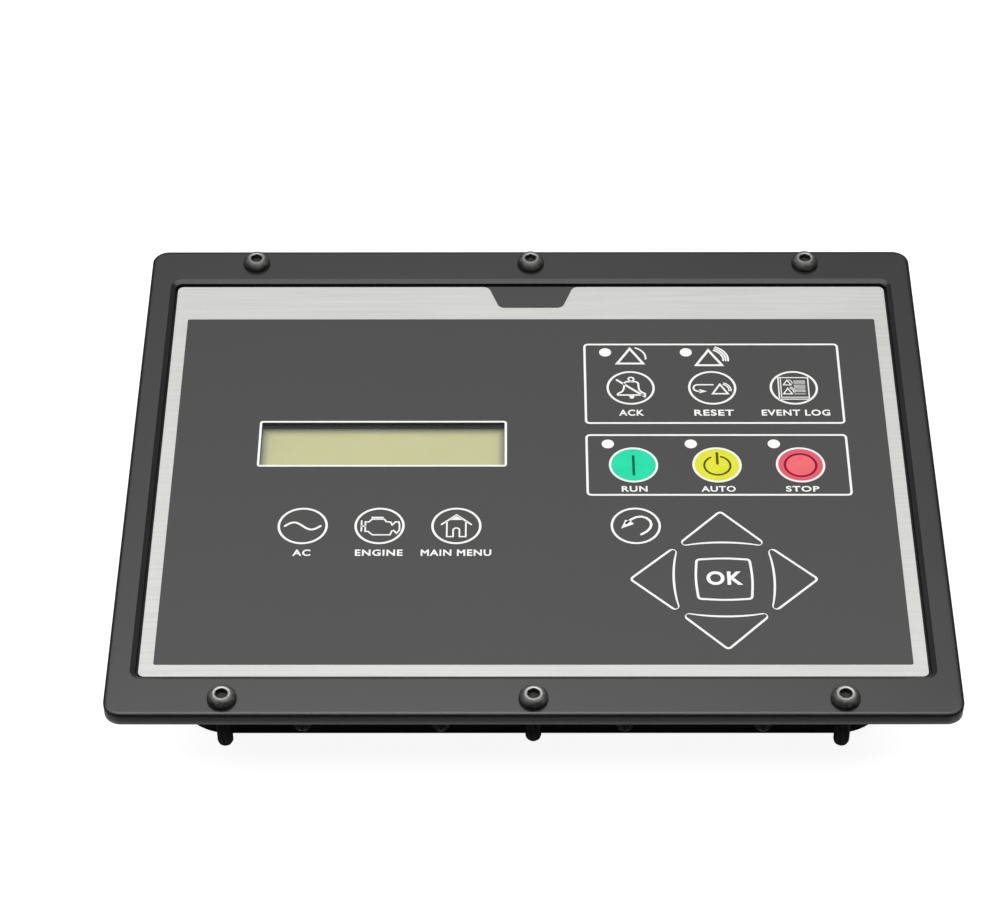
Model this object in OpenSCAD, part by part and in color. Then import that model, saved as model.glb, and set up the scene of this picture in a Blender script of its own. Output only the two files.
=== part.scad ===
// Engine control module for a generating set: a panel-mounted controller with a
// bezel frame, a membrane keypad, a character display and a sealed electronics
// housing. It lies on its flat back, face up. X runs across the face, Y runs up
// the face, and Z runs out of the face. The origin is at the centre of the back.

/* [Bezel frame] */
// Width of the bezel frame across the face
frame_w = 310.7; // [306.7:1:324.7]
// Height of the bezel frame up the face
frame_h = 250.5; // [247.5:1:262.5]
// Distance from the frame's side edge to the keypad
frame_side = 11.35; // [10.85:0.25:12.35]
// Distance from the frame's top and bottom edge to the keypad
frame_end = 19.75; // [19.25:0.25:21.25]
// Thickness of the bezel frame
frame_t = 6; // [5.5:0.25:7]
// Radius of the frame's outer corners
frame_r = 6.5; // [5:0.5:9]
// Rounding of the frame's front outer edge
frame_edge_r = 0.6; // [0.4:0.1:1.5]
// Chamfer of the frame's back outer edge
frame_back_chamfer = 0.5; // [0.2:0.1:0.8]
// Gap between the keypad's edge and the wall of the opening
opening_gap = 1.1; // [0.8:0.1:1.4]
// Corner radius of the opening
opening_r = 3; // [2:0.5:5]
// Width of the bevel round the opening
bevel_w = 1.8; // [1.2:0.1:2.2]
// Depth of the bevel round the opening
bevel_d = 1; // [0.7:0.1:1.5]
// Distance from the frame's face to the back of the module
module_depth = 45; // [44:0.5:56]

/* [Panel screws] */
// Shank diameter of the panel screws
screw_d = 6; // [5:0.5:6.5]
// Depth of the threaded end below the shank's surface
thread_in = 0.2; // [0.18:0.01:0.25]
// Length of plain shank beyond the gasket
shank_over = 0.5; // [0.2:0.1:1]
// Head diameter of the panel screws
screw_head_d = 10.8; // [10:0.1:11.4]
// Head height of the panel screws
screw_head_h = 3.3; // [2.8:0.1:3.8]
// Flat on top of the screw head, across
screw_top_d = 6.4; // [5.8:0.1:7]
// Width across flats of the hexagon socket
screw_socket = 4; // [3.5:0.1:4.4]
// Depth of the hexagon socket
screw_socket_depth = 2.2; // [1.6:0.1:2.6]
// Length of the four corner screws under the head
corner_screw_len = 24.5; // [18:0.5:30]
// Length of the two middle screws under the head
middle_screw_len = 22; // [16:0.5:30]
// Distance of the outer screws from the frame's side edge
screw_side = 42.85; // [35.35:0.5:55.35]
// Distance of the screws from the frame's top and bottom edge
screw_edge = 7.45; // [7.05:0.1:7.85]
// Clearance round a panel screw in its hole
screw_clear = 0.25; // [0.15:0.05:0.4]

/* [Membrane keypad] */
// Corner radius of the printed film
film_r = 2.25; // [1.5:0.25:4]
// Thickness of the printed film
film_t = 0.5; // [0.35:0.05:0.65]
// Thickness of the spacer layer round the snap domes
spacer_t = 0.5; // [0.45:0.05:0.7]
// Thickness of the keypad circuit layer
circuit_t = 0.3; // [0.2:0.05:0.4]
// Depth of the keypad's face below the frame's face
film_drop = 1.8; // [1.6:0.1:2.2]
// Diameter of a snap dome
dome_d = 12; // [9:0.5:13]
// Height of a snap dome
dome_h = 0.4; // [0.3:0.02:0.44]
// Sheet thickness of a snap dome
dome_t = 0.1; // [0.07:0.01:0.13]
// Clearance round a snap dome in the spacer
dome_clear = 0.3; // [0.2:0.1:0.5]
// Width of the keypad's flexible tail
tail_w = 12; // [8:0.5:13]

/* [Printed areas] */
// Thickness of one printed layer
ink_t = 0.1; // [0.06:0.01:0.14]
// Silver border at the film's sides
border_side = 5.2; // [4:0.1:7]
// Silver border at the film's bottom
border = 5.7; // [4:0.1:7]
// Silver border at the film's top
border_top = 19.5; // [16:0.5:22]
// Corner radius of the dark field
field_r = 0.75; // [0.5:0.25:2]
// Width of the dark tab at the film's top edge
tab_top_w = 34.5; // [32:0.5:42]
// Width of the dark tab at its foot
tab_foot_w = 25.5; // [20:0.5:29]
// Height of the dark tab
tab_h = 12.6; // [10:0.2:14]
// Rounding of the tab's foot and shoulders
tab_r = 3; // [1.5:0.25:3.5]
// Width of the printed outlines
line_w = 0.9; // [0.6:0.05:1.2]
// Corner radius of the printed boxes
box_r = 1.5; // [1:0.1:3]
// Diameter of the ring printed round a key
ring_d = 18.2; // [16:0.2:20]
// Diameter of a lamp window
lamp_d = 4.8; // [4.4:0.1:5]

/* [Key layout] */
// Spacing of the right-hand columns of keys
key_pitch = 32.3; // [29:0.1:34]
// Width of the boxes round the alarm and mode keys
box_w = 101.2; // [97.2:0.5:105.2]
// Distance of the boxes' middle to the right of the middle keys
box_shift = 0.35; // [0:0.05:0.8]
// Height of the box round the alarm keys
alarm_box_h = 45; // [43:0.5:48]
// Height of the alarm box's middle above the alarm keys
alarm_box_up = 2.6; // [1:0.1:4]
// Height of the box round the mode keys
mode_box_h = 32.6; // [31:0.2:34]
// Depth of the mode box's middle below the mode keys
mode_box_down = -0.1; // [-0.6:0.1:0.4]
// Gap between the dark field's top and the alarm box
gap_top = 14.65; // [10:0.05:18]
// Gap between the alarm box and the mode box
gap_boxes = 5.8; // [3.8:0.1:8.8]
// Gap between the mode box and the arrow keys
gap_arrows = 7.75; // [5.75:0.05:10.75]
// Gap between the arrow keys and the dark field's bottom
gap_bottom = 6.6; // [4.6:0.1:10.6]
// Gap between the boxes and the dark field's side
gap_right = 15.8; // [10.8:0.1:20.8]
// Gap between the display's board and the collar of the nearest light pipe
gap_middle = 21.95; // [16:0.05:26]
// Gap between the display's board and the housing's wall
gap_left = 9.45; // [6:0.05:14]
// Distance of a lamp to the left of its key
lamp_left = 9.7; // [8.4:0.1:11]
// Distance of a lamp above an alarm key
alarm_lamp_up = 20.5; // [18:0.1:21]
// Distance of a lamp above a mode key
mode_lamp_up = 11.5; // [10:0.1:12]
// Depth of the menu keys below the display's middle
menu_down = 44.35; // [40:0.05:48]
// Spacing of the menu keys
menu_pitch = 29.2; // [25:0.1:31]
// Height of the back key above the arrow keys' centre
back_up = 27.6; // [26:0.1:29]
// Distance from the arrow keys' centre to a tip
arrow_tip = 35.8; // [34.6:0.2:37]
// Distance from the arrow keys' centre to an arrow's base
arrow_base = 16.2; // [15.6:0.2:17.4]
// Half the width of an arrow's base
arrow_half = 18.8; // [17:0.2:19.4]
// Hollow of an arrow's base
arrow_sag = 2.2; // [1:0.1:2.6]
// Width and height of the confirm key
confirm_size = 22; // [19:0.2:23.5]
// Bulge of the confirm key's sides
confirm_bulge = 0.6; // [0:0.1:1.4]
// Corner radius of the confirm key and the arrow keys
key_corner_r = 1.8; // [1.2:0.1:2.1]

/* [Display] */
// Height of the display's middle above the dark field's middle
window_up = 21.45; // [15:0.05:28]
// Thickness of the window pane
lens_t = 1.6; // [1.4:0.1:1.8]
// Width of the pane that is bonded under the film
lens_rim = 3; // [2:0.25:4]
// Thickness of the ledge behind the pane
ledge_t = 1; // [0.8:0.1:1.2]
// Width of the display's circuit board
lcd_board_w = 125; // [120:0.5:130]
// Height of the display's circuit board
lcd_board_h = 40; // [38:0.5:44]
// Distance from the board's side edge to the display's metal frame
lcd_side = 8.5; // [8:0.1:10]
// Distance from the board's top and bottom edge to the display's metal frame
lcd_end = 2; // [1.5:0.1:3]
// Distance from the metal frame's side edge to the display window
view_side = 6.5; // [5:0.1:8]
// Distance from the metal frame's top and bottom edge to the display window
view_end = 6.3; // [5:0.1:8]
// Distance of the display's screws from the board's side edge
lcd_screw_side = 3.5; // [3:0.1:4]
// Distance of the display's screws from the board's top and bottom edge
lcd_screw_end = 3; // [3:0.1:4]
// Depth of the display's metal frame
lcd_d = 8.5; // [7.5:0.1:9.2]
// Sheet thickness of the display's metal frame
lcd_sheet = 0.5; // [0.3:0.05:0.6]
// Margin of the metal frame's opening round the window
lcd_margin = 1; // [0.5:0.1:1.5]
// Thickness of the display glass
lcd_glass_t = 2.6; // [2.2:0.1:3]

/* [Housing] */
// Distance from the frame's side edge to the housing's wall
housing_side = 21.35; // [19.35:0.5:23.85]
// Distance from the frame's top and bottom edge to the housing's wall
housing_end = 28.75; // [27.25:0.5:31.75]
// Radius of the housing's corners
housing_r = 20; // [14:1:24]
// Thickness of the housing's wall
wall_t = 4; // [3.6:0.1:4.4]
// Thickness of the housing's front plate
plate_t = 2.8; // [2.7:0.05:3.2]
// Width of the flange beyond the film
flange_over = 6.2; // [5.8:0.1:6.3]
// Thickness of the flange
flange_t = 2; // [1.9:0.05:2.4]
// Clearance of the flange in the frame's rebate
flange_clear = 0.2; // [0.1:0.05:0.3]
// Thickness of the ribs under the front plate
rib_t = 1.5; // [1:0.1:2]
// Ribs that run up the front plate
ribs_up = 7; // [5:2:9]
// Ribs that run across the front plate
ribs_across = 5; // [3:2:7]
// Depth of the ribs under the front plate
rib_d = 5; // [3:0.25:6]
// Clearance between the ribs and the display
rib_clear = 1.5; // [0.8:0.1:2]
// Outer diameter of the bosses for the main board
boss_d = 8; // [7:0.25:9]
// Outer diameter of the bosses for the display
lcd_boss_d = 6; // [5.6:0.1:6.4]
// Width of the pad behind each cover screw
pad_w = 10; // [8:0.5:12]
// Depth of the pad behind each cover screw
pad_d = 5; // [4:0.25:5.5]

/* [Flange screws and gasket] */
// Shank diameter of the flange screws
flange_screw_d = 2.5; // [2:0.1:2.6]
// Head diameter of the flange screws
flange_head_d = 4.7; // [4.2:0.1:4.9]
// Head height of the flange screws
flange_head_h = 1.2; // [1:0.05:1.4]
// Length of the flange screws with the head
flange_screw_len = 4.2; // [3.6:0.1:4.3]
// Distance of the flange screws from the film's edge
flange_screw_out = 3.4; // [3.2:0.1:3.5]
// Distance of the upper and lower flange screws from the film's side
flange_screw_side = 84; // [50:1:100]
// Distance of the side flange screws from the film's top and bottom
flange_screw_end = 35.5; // [20:0.5:50]
// Thickness of the panel gasket
gasket_t = 2; // [1:0.25:3]
// Distance of the gasket's edge inside the frame's edge
gasket_inset = 3; // [2:0.25:3.5]
// Gap between the gasket and the housing's wall
gasket_gap = 1; // [0.5:0.25:3]

/* [Rear cover] */
// Sheet thickness of the rear cover
cover_t = 1.2; // [1:0.05:1.5]
// Height of the rear cover's wall
cover_h = 12; // [11.5:0.25:15]
// Rounding of the rear cover's back edge
cover_edge_r = 1; // [0.6:0.1:1.1]
// Clearance between the cover and the housing
cover_clear = 0.15; // [0.1:0.05:0.3]
// Thickness of the cover gasket
cover_gasket_t = 0.8; // [0.6:0.1:1.2]
// Distance from the cover's side to the pressed panel
press_side = 29; // [20:1:45]
// Distance from the cover's top to the pressed panel
press_end = 20; // [15:1:30]
// Gap between the header's flange and the pressed panel
press_gap = 22; // [10:1:30]
// Depth of the pressed panel
press_d = 0.5; // [0.3:0.05:0.8]
// Corner radius of the pressed panel
press_r = 10; // [5:0.5:15]
// Diameter of the vent hole
vent_hole_d = 3; // [2:0.25:4]
// Diameter of the vent membrane
vent_d = 12; // [9:0.5:14]
// Thickness of the vent membrane
vent_t = 0.4; // [0.2:0.05:0.6]
// Distance of the vent from the cover's side
vent_side = 29; // [22:1:50]
// Distance of the vent from the cover's bottom
vent_end = 44; // [32:1:70]

/* [Cover screws] */
// Shank diameter of the cover screws
cover_screw_d = 3.5; // [3:0.1:3.7]
// Head diameter of the cover screws
cover_head_d = 7; // [6:0.1:7.4]
// Head height of the cover screws
cover_head_h = 2.2; // [1.8:0.1:2.6]
// Length of the cover screws under the head
cover_screw_len = 8; // [6:0.25:9]
// Height of the cover screws above the back
cover_screw_z = 7.2; // [6.8:0.1:7.6]
// Clearance round a cover screw in its hole
cover_screw_clear = 0.1; // [0.05:0.05:0.15]
// Distance of the outer cover screws from the cover's side
cover_screw_side = 48; // [35:1:60]
// Distance between an outer and an inner cover screw
cover_screw_step = 51.7; // [45.7:1:59.7]
// Distance of the side cover screws from the cover's top and bottom
cover_screw_end = 51; // [35:1:65]

/* [Main board] */
// Thickness of the circuit boards
board_t = 1.6; // [1.2:0.1:2]
// Length of the bosses that carry the main board
boss_len = 14; // [13.5:0.1:15]
// Gap between the main board's edge and the housing's wall
board_gap = 7; // [6:0.5:9]
// Corner radius of the main board
board_r = 6; // [3:0.5:9]
// Distance of the board screws from the board's edge
board_screw_in = 7; // [6:0.5:8]
// Shank diameter of the board screws
board_screw_d = 3; // [2.5:0.1:3]
// Head diameter of the board screws
board_head_d = 5.6; // [5:0.1:6]
// Head height of the board screws
board_head_h = 2.2; // [1.6:0.1:2.6]
// Length of the board screws under the head
board_screw_len = 8; // [6:0.5:10]
// Clearance round the small screws in their holes
fit = 0.1; // [0.05:0.05:0.2]
// Diameter of a light pipe
pipe_d = 3.6; // [3:0.1:3.8]
// Diameter of a light pipe's collar
collar_d = 6.4; // [5:0.2:7]
// Thickness of a light pipe's collar
collar_t = 1.2; // [0.8:0.1:2]
// Height of a status lamp on the board
lamp_h = 1.2; // [0.8:0.1:1.6]
// Gap between a status lamp and its light pipe
lamp_air = 0.2; // [0.1:0.05:0.5]

/* [Header] */
// Height of the header's middle above the housing's bottom
header_up = 51.5; // [46.5:0.5:56.5]
// Outer width of the header's shell
header_w = 90; // [88:0.5:94]
// Outer height of the header's shell
header_h = 36; // [34:0.5:38]
// Wall of the header's shell
header_wall = 2.5; // [2:0.1:2.8]
// Corner radius of the header's shell
header_r = 6; // [4:0.25:8]
// Depth of the header's mouth inside the cover's face
mouth_in = 0.3; // [0.2:0.05:0.5]
// Gap between the header's shell and the cover
header_gap = 0.3; // [0.2:0.05:0.5]
// Width of the header's flange
header_flange = 5; // [4:0.25:6]
// Thickness of the header's flange
header_flange_t = 2; // [1.5:0.1:3]
// Thickness of the header's seal
seal_t = 1; // [0.6:0.1:1.4]
// Thickness of the header's pin carrier
carrier_t = 7; // [5:0.25:7.2]
// Pin columns on each side of the jack
pin_cols = 7; // [4:1:7]
// Pin rows
pin_rows = 5; // [2:1:5]
// Pitch of the pins
pin_pitch = 4.5; // [3.8:0.1:4.8]
// Diameter of a pin
pin_d = 1; // [0.8:0.05:1.2]
// Length of the pins below the board
pin_len = 15.4; // [13:0.1:16]
// Length of the pins above the board
pin_tail = 1.4; // [1:0.1:2]
// Distance from the jack to the nearest pins
pin_first = 10; // [8:0.25:10.5]
// Diameter of the jack insert
jack_d = 9; // [8:0.25:10]
// Length of the jack insert below the board
jack_len = 14.4; // [12:0.1:15]
// Radius of the jack insert's thread
jack_r = 2.1; // [1.6:0.05:2.6]
// Depth of the jack insert's thread
jack_depth = 7; // [5:0.25:7.2]

/* [Hidden] */
$fn = 48;

// A cut runs past the face it opens by this much
past = 1;

// Levels above the back, from the face downwards
face_z = module_depth;
frame_z = face_z - frame_t;
flange_top = frame_z + flange_t;
print_top = face_z - film_drop;
field_z = print_top - ink_t;
film_z = field_z - film_t;
spacer_z = film_z - spacer_t;
circuit_z = spacer_z - circuit_t;
plate_z = circuit_z - plate_t;
gasket_z = frame_z - gasket_t;
lens_z = film_z - lens_t;
lcd_face = lens_z - ledge_t;
lcd_board_top = lcd_face - lcd_d;
lcd_board_z = lcd_board_top - board_t;

board_top = plate_z - boss_len;
board_z = board_top - board_t;

// Levels above the back, from the back upwards
rim_z = cover_t + cover_gasket_t;
seal_top = cover_t + seal_t;
mouth_z = mouth_in;
header_len = board_z - mouth_z;

// Outlines
film_w = frame_w - 2 * frame_side;
film_h = frame_h - 2 * frame_end;
housing_w = frame_w - 2 * housing_side;
housing_h = frame_h - 2 * housing_end;
opening_w = film_w + 2 * opening_gap;
opening_h = film_h + 2 * opening_gap;
flange_w = film_w + 2 * flange_over;
flange_h = film_h + 2 * flange_over;
flange_r = film_r + flange_over;
inner_w = housing_w - 2 * wall_t;
inner_h = housing_h - 2 * wall_t;
inner_r = housing_r - wall_t;
tub_w = housing_w - 2 * (cover_t + cover_clear);
tub_h = housing_h - 2 * (cover_t + cover_clear);
tub_r = housing_r - cover_t - cover_clear;
board_w = inner_w - 2 * board_gap;
board_h = inner_h - 2 * board_gap;
screw_x = frame_w / 2 - screw_side;
screw_y = frame_h / 2 - screw_edge;
lcd_w = lcd_board_w - 2 * lcd_side;
lcd_h = lcd_board_h - 2 * lcd_end;
lcd_hole_w = lcd_board_w - 2 * lcd_screw_side;
lcd_hole_h = lcd_board_h - 2 * lcd_screw_end;
window_w = lcd_w - 2 * view_side;
window_h = lcd_h - 2 * view_end;
window_r = 0.4;
lens_w = window_w + 2 * lens_rim;
lens_h = window_h + 2 * lens_rim;
lens_clear = 0.15;
lens_r = 1.5;
lcd_r = 1;
lcd_pocket = 0.3;
field_w = film_w - 2 * border_side;
field_h = film_h - border - border_top;
field_y = (border - border_top) / 2;
header_y = header_up - housing_h / 2;

// Rows of the printed layout: the gaps share what the field's height leaves over
alarm_span = alarm_box_h + line_w;
mode_span = mode_box_h + line_w;
ease_y = (field_h - alarm_span - mode_span - 2 * arrow_tip) / (gap_top + gap_boxes + gap_arrows + gap_bottom);
alarm_box_y = field_y + field_h / 2 - gap_top * ease_y - alarm_span / 2;
mode_box_y = alarm_box_y - alarm_span / 2 - gap_boxes * ease_y - mode_span / 2;
arrows_y = mode_box_y - mode_span / 2 - gap_arrows * ease_y - arrow_tip;
window_y = field_y + window_up;
menu_y = window_y - menu_down;

// Columns of the printed layout: the gaps share what the field's width leaves over
lamp_reach = key_pitch + lamp_left + collar_d / 2 + box_shift;
box_span = box_w + line_w;
ease_x = (inner_w / 2 + field_w / 2 - lcd_board_w - lamp_reach - box_span / 2) / (gap_left + gap_middle + gap_right);
box_x = field_w / 2 - gap_right * ease_x - box_span / 2;
key_x = box_x - box_shift;
window_x = gap_left * ease_x + lcd_board_w / 2 - inner_w / 2;

// Screw places
panel_screw_places = [for (x = [-screw_x, 0, screw_x], y = [-screw_y, screw_y]) [x, y]];
flange_screw_places = concat(
    [for (r = [-1, 1], s = [-1, 1]) [r * (film_w / 2 - flange_screw_side), s * (film_h / 2 + flange_screw_out)]],
    [for (r = [-1, 1], s = [-1, 1]) [s * (film_w / 2 + flange_screw_out), r * (film_h / 2 - flange_screw_end)]]
);
board_screw_places = [
    for (x = [-1, 0, 1], y = [-1, 1])
        [x * (board_w / 2 - board_screw_in), y * (board_h / 2 - board_screw_in)]
];
lcd_screw_places = [
    for (x = [-1, 1], y = [-1, 1]) [window_x + x * lcd_hole_w / 2, window_y + y * lcd_hole_h / 2]
];
lcd_screw_d = 2.5;
lcd_head_d = 4.6;
lcd_head_h = 1.6;
lcd_screw_len = 6;

cover_screw_first = housing_w / 2 - cover_screw_side;
cover_screw_xs = [for (s = [-1, 1], i = [0, 1]) s * (cover_screw_first - i * cover_screw_step)];
cover_screw_ys = [for (s = [-1, 1]) s * (housing_h / 2 - cover_screw_end)];
vent_place = [vent_side - housing_w / 2, vent_end - housing_h / 2];

// Key centres
mode_keys = [for (i = [-1:1]) [key_x + i * key_pitch, mode_box_y + mode_box_down]];
alarm_keys = [for (i = [-1:1]) [key_x + i * key_pitch, alarm_box_y - alarm_box_up]];
menu_keys = [for (i = [-1:1]) [window_x + i * menu_pitch, menu_y]];
back_key = [key_x - key_pitch, arrows_y + back_up];
ring_keys = concat(mode_keys, alarm_keys, menu_keys, [back_key]);
arrow_middle = (arrow_tip + 2 * arrow_base) / 3;
arrow_keys = [for (a = [0:90:270]) [key_x + arrow_middle * cos(a), arrows_y + arrow_middle * sin(a)]];
dome_places = concat(ring_keys, arrow_keys, [[key_x, arrows_y]]);
lamp_places = concat(
    [for (i = [0, 1]) alarm_keys[i] + [-lamp_left, alarm_lamp_up]],
    [for (i = [0:2]) mode_keys[i] + [-lamp_left, mode_lamp_up]]
);

// Evenly spaced ribs under the front plate; the keypad's tail drops between two of them
rib_step_x = inner_w / (ribs_up + 1);
rib_step_y = inner_h / (ribs_across + 1);
rib_xs = [for (i = [1:ribs_up]) i * rib_step_x - inner_w / 2];
rib_ys = [for (i = [1:ribs_across]) i * rib_step_y - inner_h / 2];
tail_x = -1.5 * rib_step_x;
tail_y = (rib_step_y - inner_h) / 2;
ledge_clear = 0.5;

// A rounded rectangle, centred
module rounded(w, h, r) {
    square([w - 2 * r, h], center = true);
    square([w, h - 2 * r], center = true);
    for (x = [-1, 1], y = [-1, 1])
        translate([x * (w / 2 - r), y * (h / 2 - r)]) circle(r);
}

// A plate with rounded corners from level z upwards
module slab(w, h, r, z, t) {
    translate([0, 0, z]) linear_extrude(t) rounded(w, h, r);
}

// A plate with rounded corners whose edge follows a profile of [inset, level] points, lowest first
module edged(w, h, r, profile) {
    low = profile[0][1];
    high = profile[len(profile) - 1][1];
    turned = concat([[0, low]], [for (p = profile) [r - p[0], p[1]]], [[0, high]]);
    for (x = [0, 1], y = [0, 1]) mirror([x, 0, 0]) mirror([0, y, 0])
        translate([w / 2 - r, h / 2 - r, 0]) rotate_extrude(angle = 90) polygon(turned);
    rotate([90, 0, 90]) linear_extrude(w - 2 * r, center = true) section(h / 2, profile);
    rotate([90, 0, 0]) linear_extrude(h - 2 * r, center = true) section(w / 2, profile);
}

// Cross section of such a plate
module section(half, profile) {
    count = len(profile);
    polygon(concat([for (p = profile) [half - p[0], p[1]]],
                   [for (i = [1:count]) [profile[count - i][0] - half, profile[count - i][1]]]));
}

// A flat ring between two rounded rectangles
module band(w, h, r, inset, z, t) {
    translate([0, 0, z]) linear_extrude(t) difference() {
        rounded(w, h, r);
        rounded(w - 2 * inset, h - 2 * inset, max(r - inset, 0.3));
    }
}

// A round peg from level z upwards, at a place in the plane
module peg(place, d, z, t) {
    translate([place[0], place[1], z]) cylinder(d = d, h = t);
}

// Outline of a corner list with every corner rounded by an arc of its own radius
function unit(v) = v / norm(v);
function corner(a, b, c, r, n) =
    r == 0 ? [b] :
    let (
        u = unit(a - b),
        v = unit(c - b),
        half = acos(u * v) / 2,
        mid = b + unit(u + v) * r / sin(half),
        turn = sign(u[0] * v[1] - u[1] * v[0]),
        from = b + u * r / tan(half) - mid,
        start = atan2(from[1], from[0])
    )
    [for (i = [0:n]) mid + r * [cos(start - turn * i * (180 - 2 * half) / n),
                                sin(start - turn * i * (180 - 2 * half) / n)]];
function rounded_path(points, radii, n = 6) = [
    for (i = [0:len(points) - 1])
        each corner(points[(i + len(points) - 1) % len(points)], points[i],
                    points[(i + 1) % len(points)], radii[i], n)
];

// Outline of an upward arrow key whose base is hollow; a positive inset gives the inner line
function arrow_outline(inset) =
    let (
        alpha = atan(arrow_half / (arrow_tip - arrow_base)),
        tip = arrow_tip - inset / sin(alpha),
        base = arrow_base + inset,
        half = (tip - base) * tan(alpha),
        r = key_corner_r - inset
    )
    rounded_path(
        concat([[0, tip], [half, base]],
               [for (i = [4:-1:-4]) [i * half * 0.15, base + arrow_sag * (1 - pow(i * 0.15, 2))]],
               [[-half, base]]),
        concat([r, r], [for (i = [4:-1:-4]) 0], [r])
    );

// Outline of the confirm key with bulging sides
function confirm_outline(inset) =
    let (
        far = confirm_size / 2 - inset,
        near = far - confirm_bulge,
        side = [for (t = [-0.5:0.25:0.5]) [t * near, -near - confirm_bulge * (1 - pow(t * 2, 2) / 3)]],
        turned = [
            for (a = [0:90:270])
                each concat([[-near, -near]], side) * [[cos(a), sin(a)], [-sin(a), cos(a)]]
        ]
    )
    rounded_path(turned, [for (a = [0:3]) each concat([key_corner_r - inset], [for (p = side) 0])]);

// Outline of the dark tab with flared shoulders, its top at the origin
function tab_outline() =
    rounded_path(
        [[-tab_top_w / 2 - tab_r * 2, 0], [-tab_top_w / 2, 0], [-tab_foot_w / 2, -tab_h],
         [tab_foot_w / 2, -tab_h], [tab_top_w / 2, 0], [tab_top_w / 2 + tab_r * 2, 0],
         [tab_top_w / 2 + tab_r * 2, past], [-tab_top_w / 2 - tab_r * 2, past]],
        [0, tab_r, tab_r, tab_r, tab_r, 0, 0, 0]
    );

// Cast frame with a bevelled opening and a rebate for the housing's flange
module bezel_frame() {
    edge = concat(
        [[frame_back_chamfer, frame_z], [0, frame_z + frame_back_chamfer]],
        [for (a = [0:18:90]) [frame_edge_r * (1 - cos(a)), face_z - frame_edge_r * (1 - sin(a))]]
    );
    color("#3a3b3b") difference() {
        edged(frame_w, frame_h, frame_r, edge);
        slab(opening_w, opening_h, opening_r, frame_z, frame_t + past);
        edged(opening_w, opening_h, opening_r,
              [[0, face_z - bevel_d], [-bevel_w * (1 + past / bevel_d), face_z + past]]);
        slab(flange_w + 2 * flange_clear, flange_h + 2 * flange_clear, flange_r + flange_clear,
             frame_z - past, flange_t + past);
        for (p = panel_screw_places) peg(p, screw_d + 2 * screw_clear, frame_z - past, frame_t + 2 * past);
        for (p = flange_screw_places) peg(p, flange_screw_d + 2 * fit, flange_top - past,
                                          flange_screw_len - flange_t + 0.2 + past);
    }
}

// Button head screw with a hexagon socket and a rounded tip, its seat at the origin
module panel_screw(len) {
    head_r = screw_head_d / 2;
    top_r = screw_top_d / 2;
    lip = 0.8;
    grip = frame_t + gasket_t + shank_over;
    thread_r = screw_d / 2 - thread_in;
    tip_r = screw_d * 0.625;
    drop = (pow(top_r, 2) - pow(head_r, 2) + pow(screw_head_h, 2) - pow(lip, 2)) / (2 * (screw_head_h - lip));
    difference() {
        union() {
            intersection() {
                cylinder(r = head_r, h = screw_head_h);
                translate([0, 0, drop]) sphere(norm([head_r, lip - drop]));
            }
            translate([0, 0, -grip]) cylinder(d = screw_d, h = grip);
            intersection() {
                translate([0, 0, -len]) cylinder(r = thread_r, h = len);
                translate([0, 0, tip_r - len]) union() {
                    sphere(tip_r);
                    cylinder(r = tip_r, h = len);
                }
            }
        }
        translate([0, 0, screw_head_h - screw_socket_depth])
            cylinder(d = screw_socket / cos(30), h = screw_socket_depth + past, $fn = 6);
        translate([0, 0, screw_head_h - 0.3]) cylinder(d1 = screw_socket, d2 = screw_socket + 2 * 0.9, h = 0.6);
    }
}

module panel_screws() {
    color("#1f2020") for (p = panel_screw_places)
        translate([p[0], p[1], face_z]) panel_screw(p[0] == 0 ? middle_screw_len : corner_screw_len);
}

// Foam gasket between the frame and the panel that it is fixed to
module panel_gasket() {
    color("#161616") difference() {
        slab(frame_w - 2 * gasket_inset, frame_h - 2 * gasket_inset, frame_r - gasket_inset, gasket_z, gasket_t);
        slab(housing_w + 2 * gasket_gap, housing_h + 2 * gasket_gap, housing_r + gasket_gap,
             gasket_z - past, gasket_t + 2 * past);
        for (p = panel_screw_places) peg(p, screw_d + 2 * screw_clear, gasket_z - past, gasket_t + 2 * past);
    }
}

// Countersunk screws that hold the frame on the housing's flange
module flange_screws() {
    color("silver") for (p = flange_screw_places) translate([p[0], p[1], frame_z]) difference() {
        union() {
            cylinder(d1 = flange_head_d, d2 = flange_screw_d, h = flange_head_h);
            cylinder(d = flange_screw_d, h = flange_screw_len);
        }
        translate([0, 0, -past]) cylinder(d = flange_screw_d / 2, h = flange_head_h / 2 + past, $fn = 6);
    }
}

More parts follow.
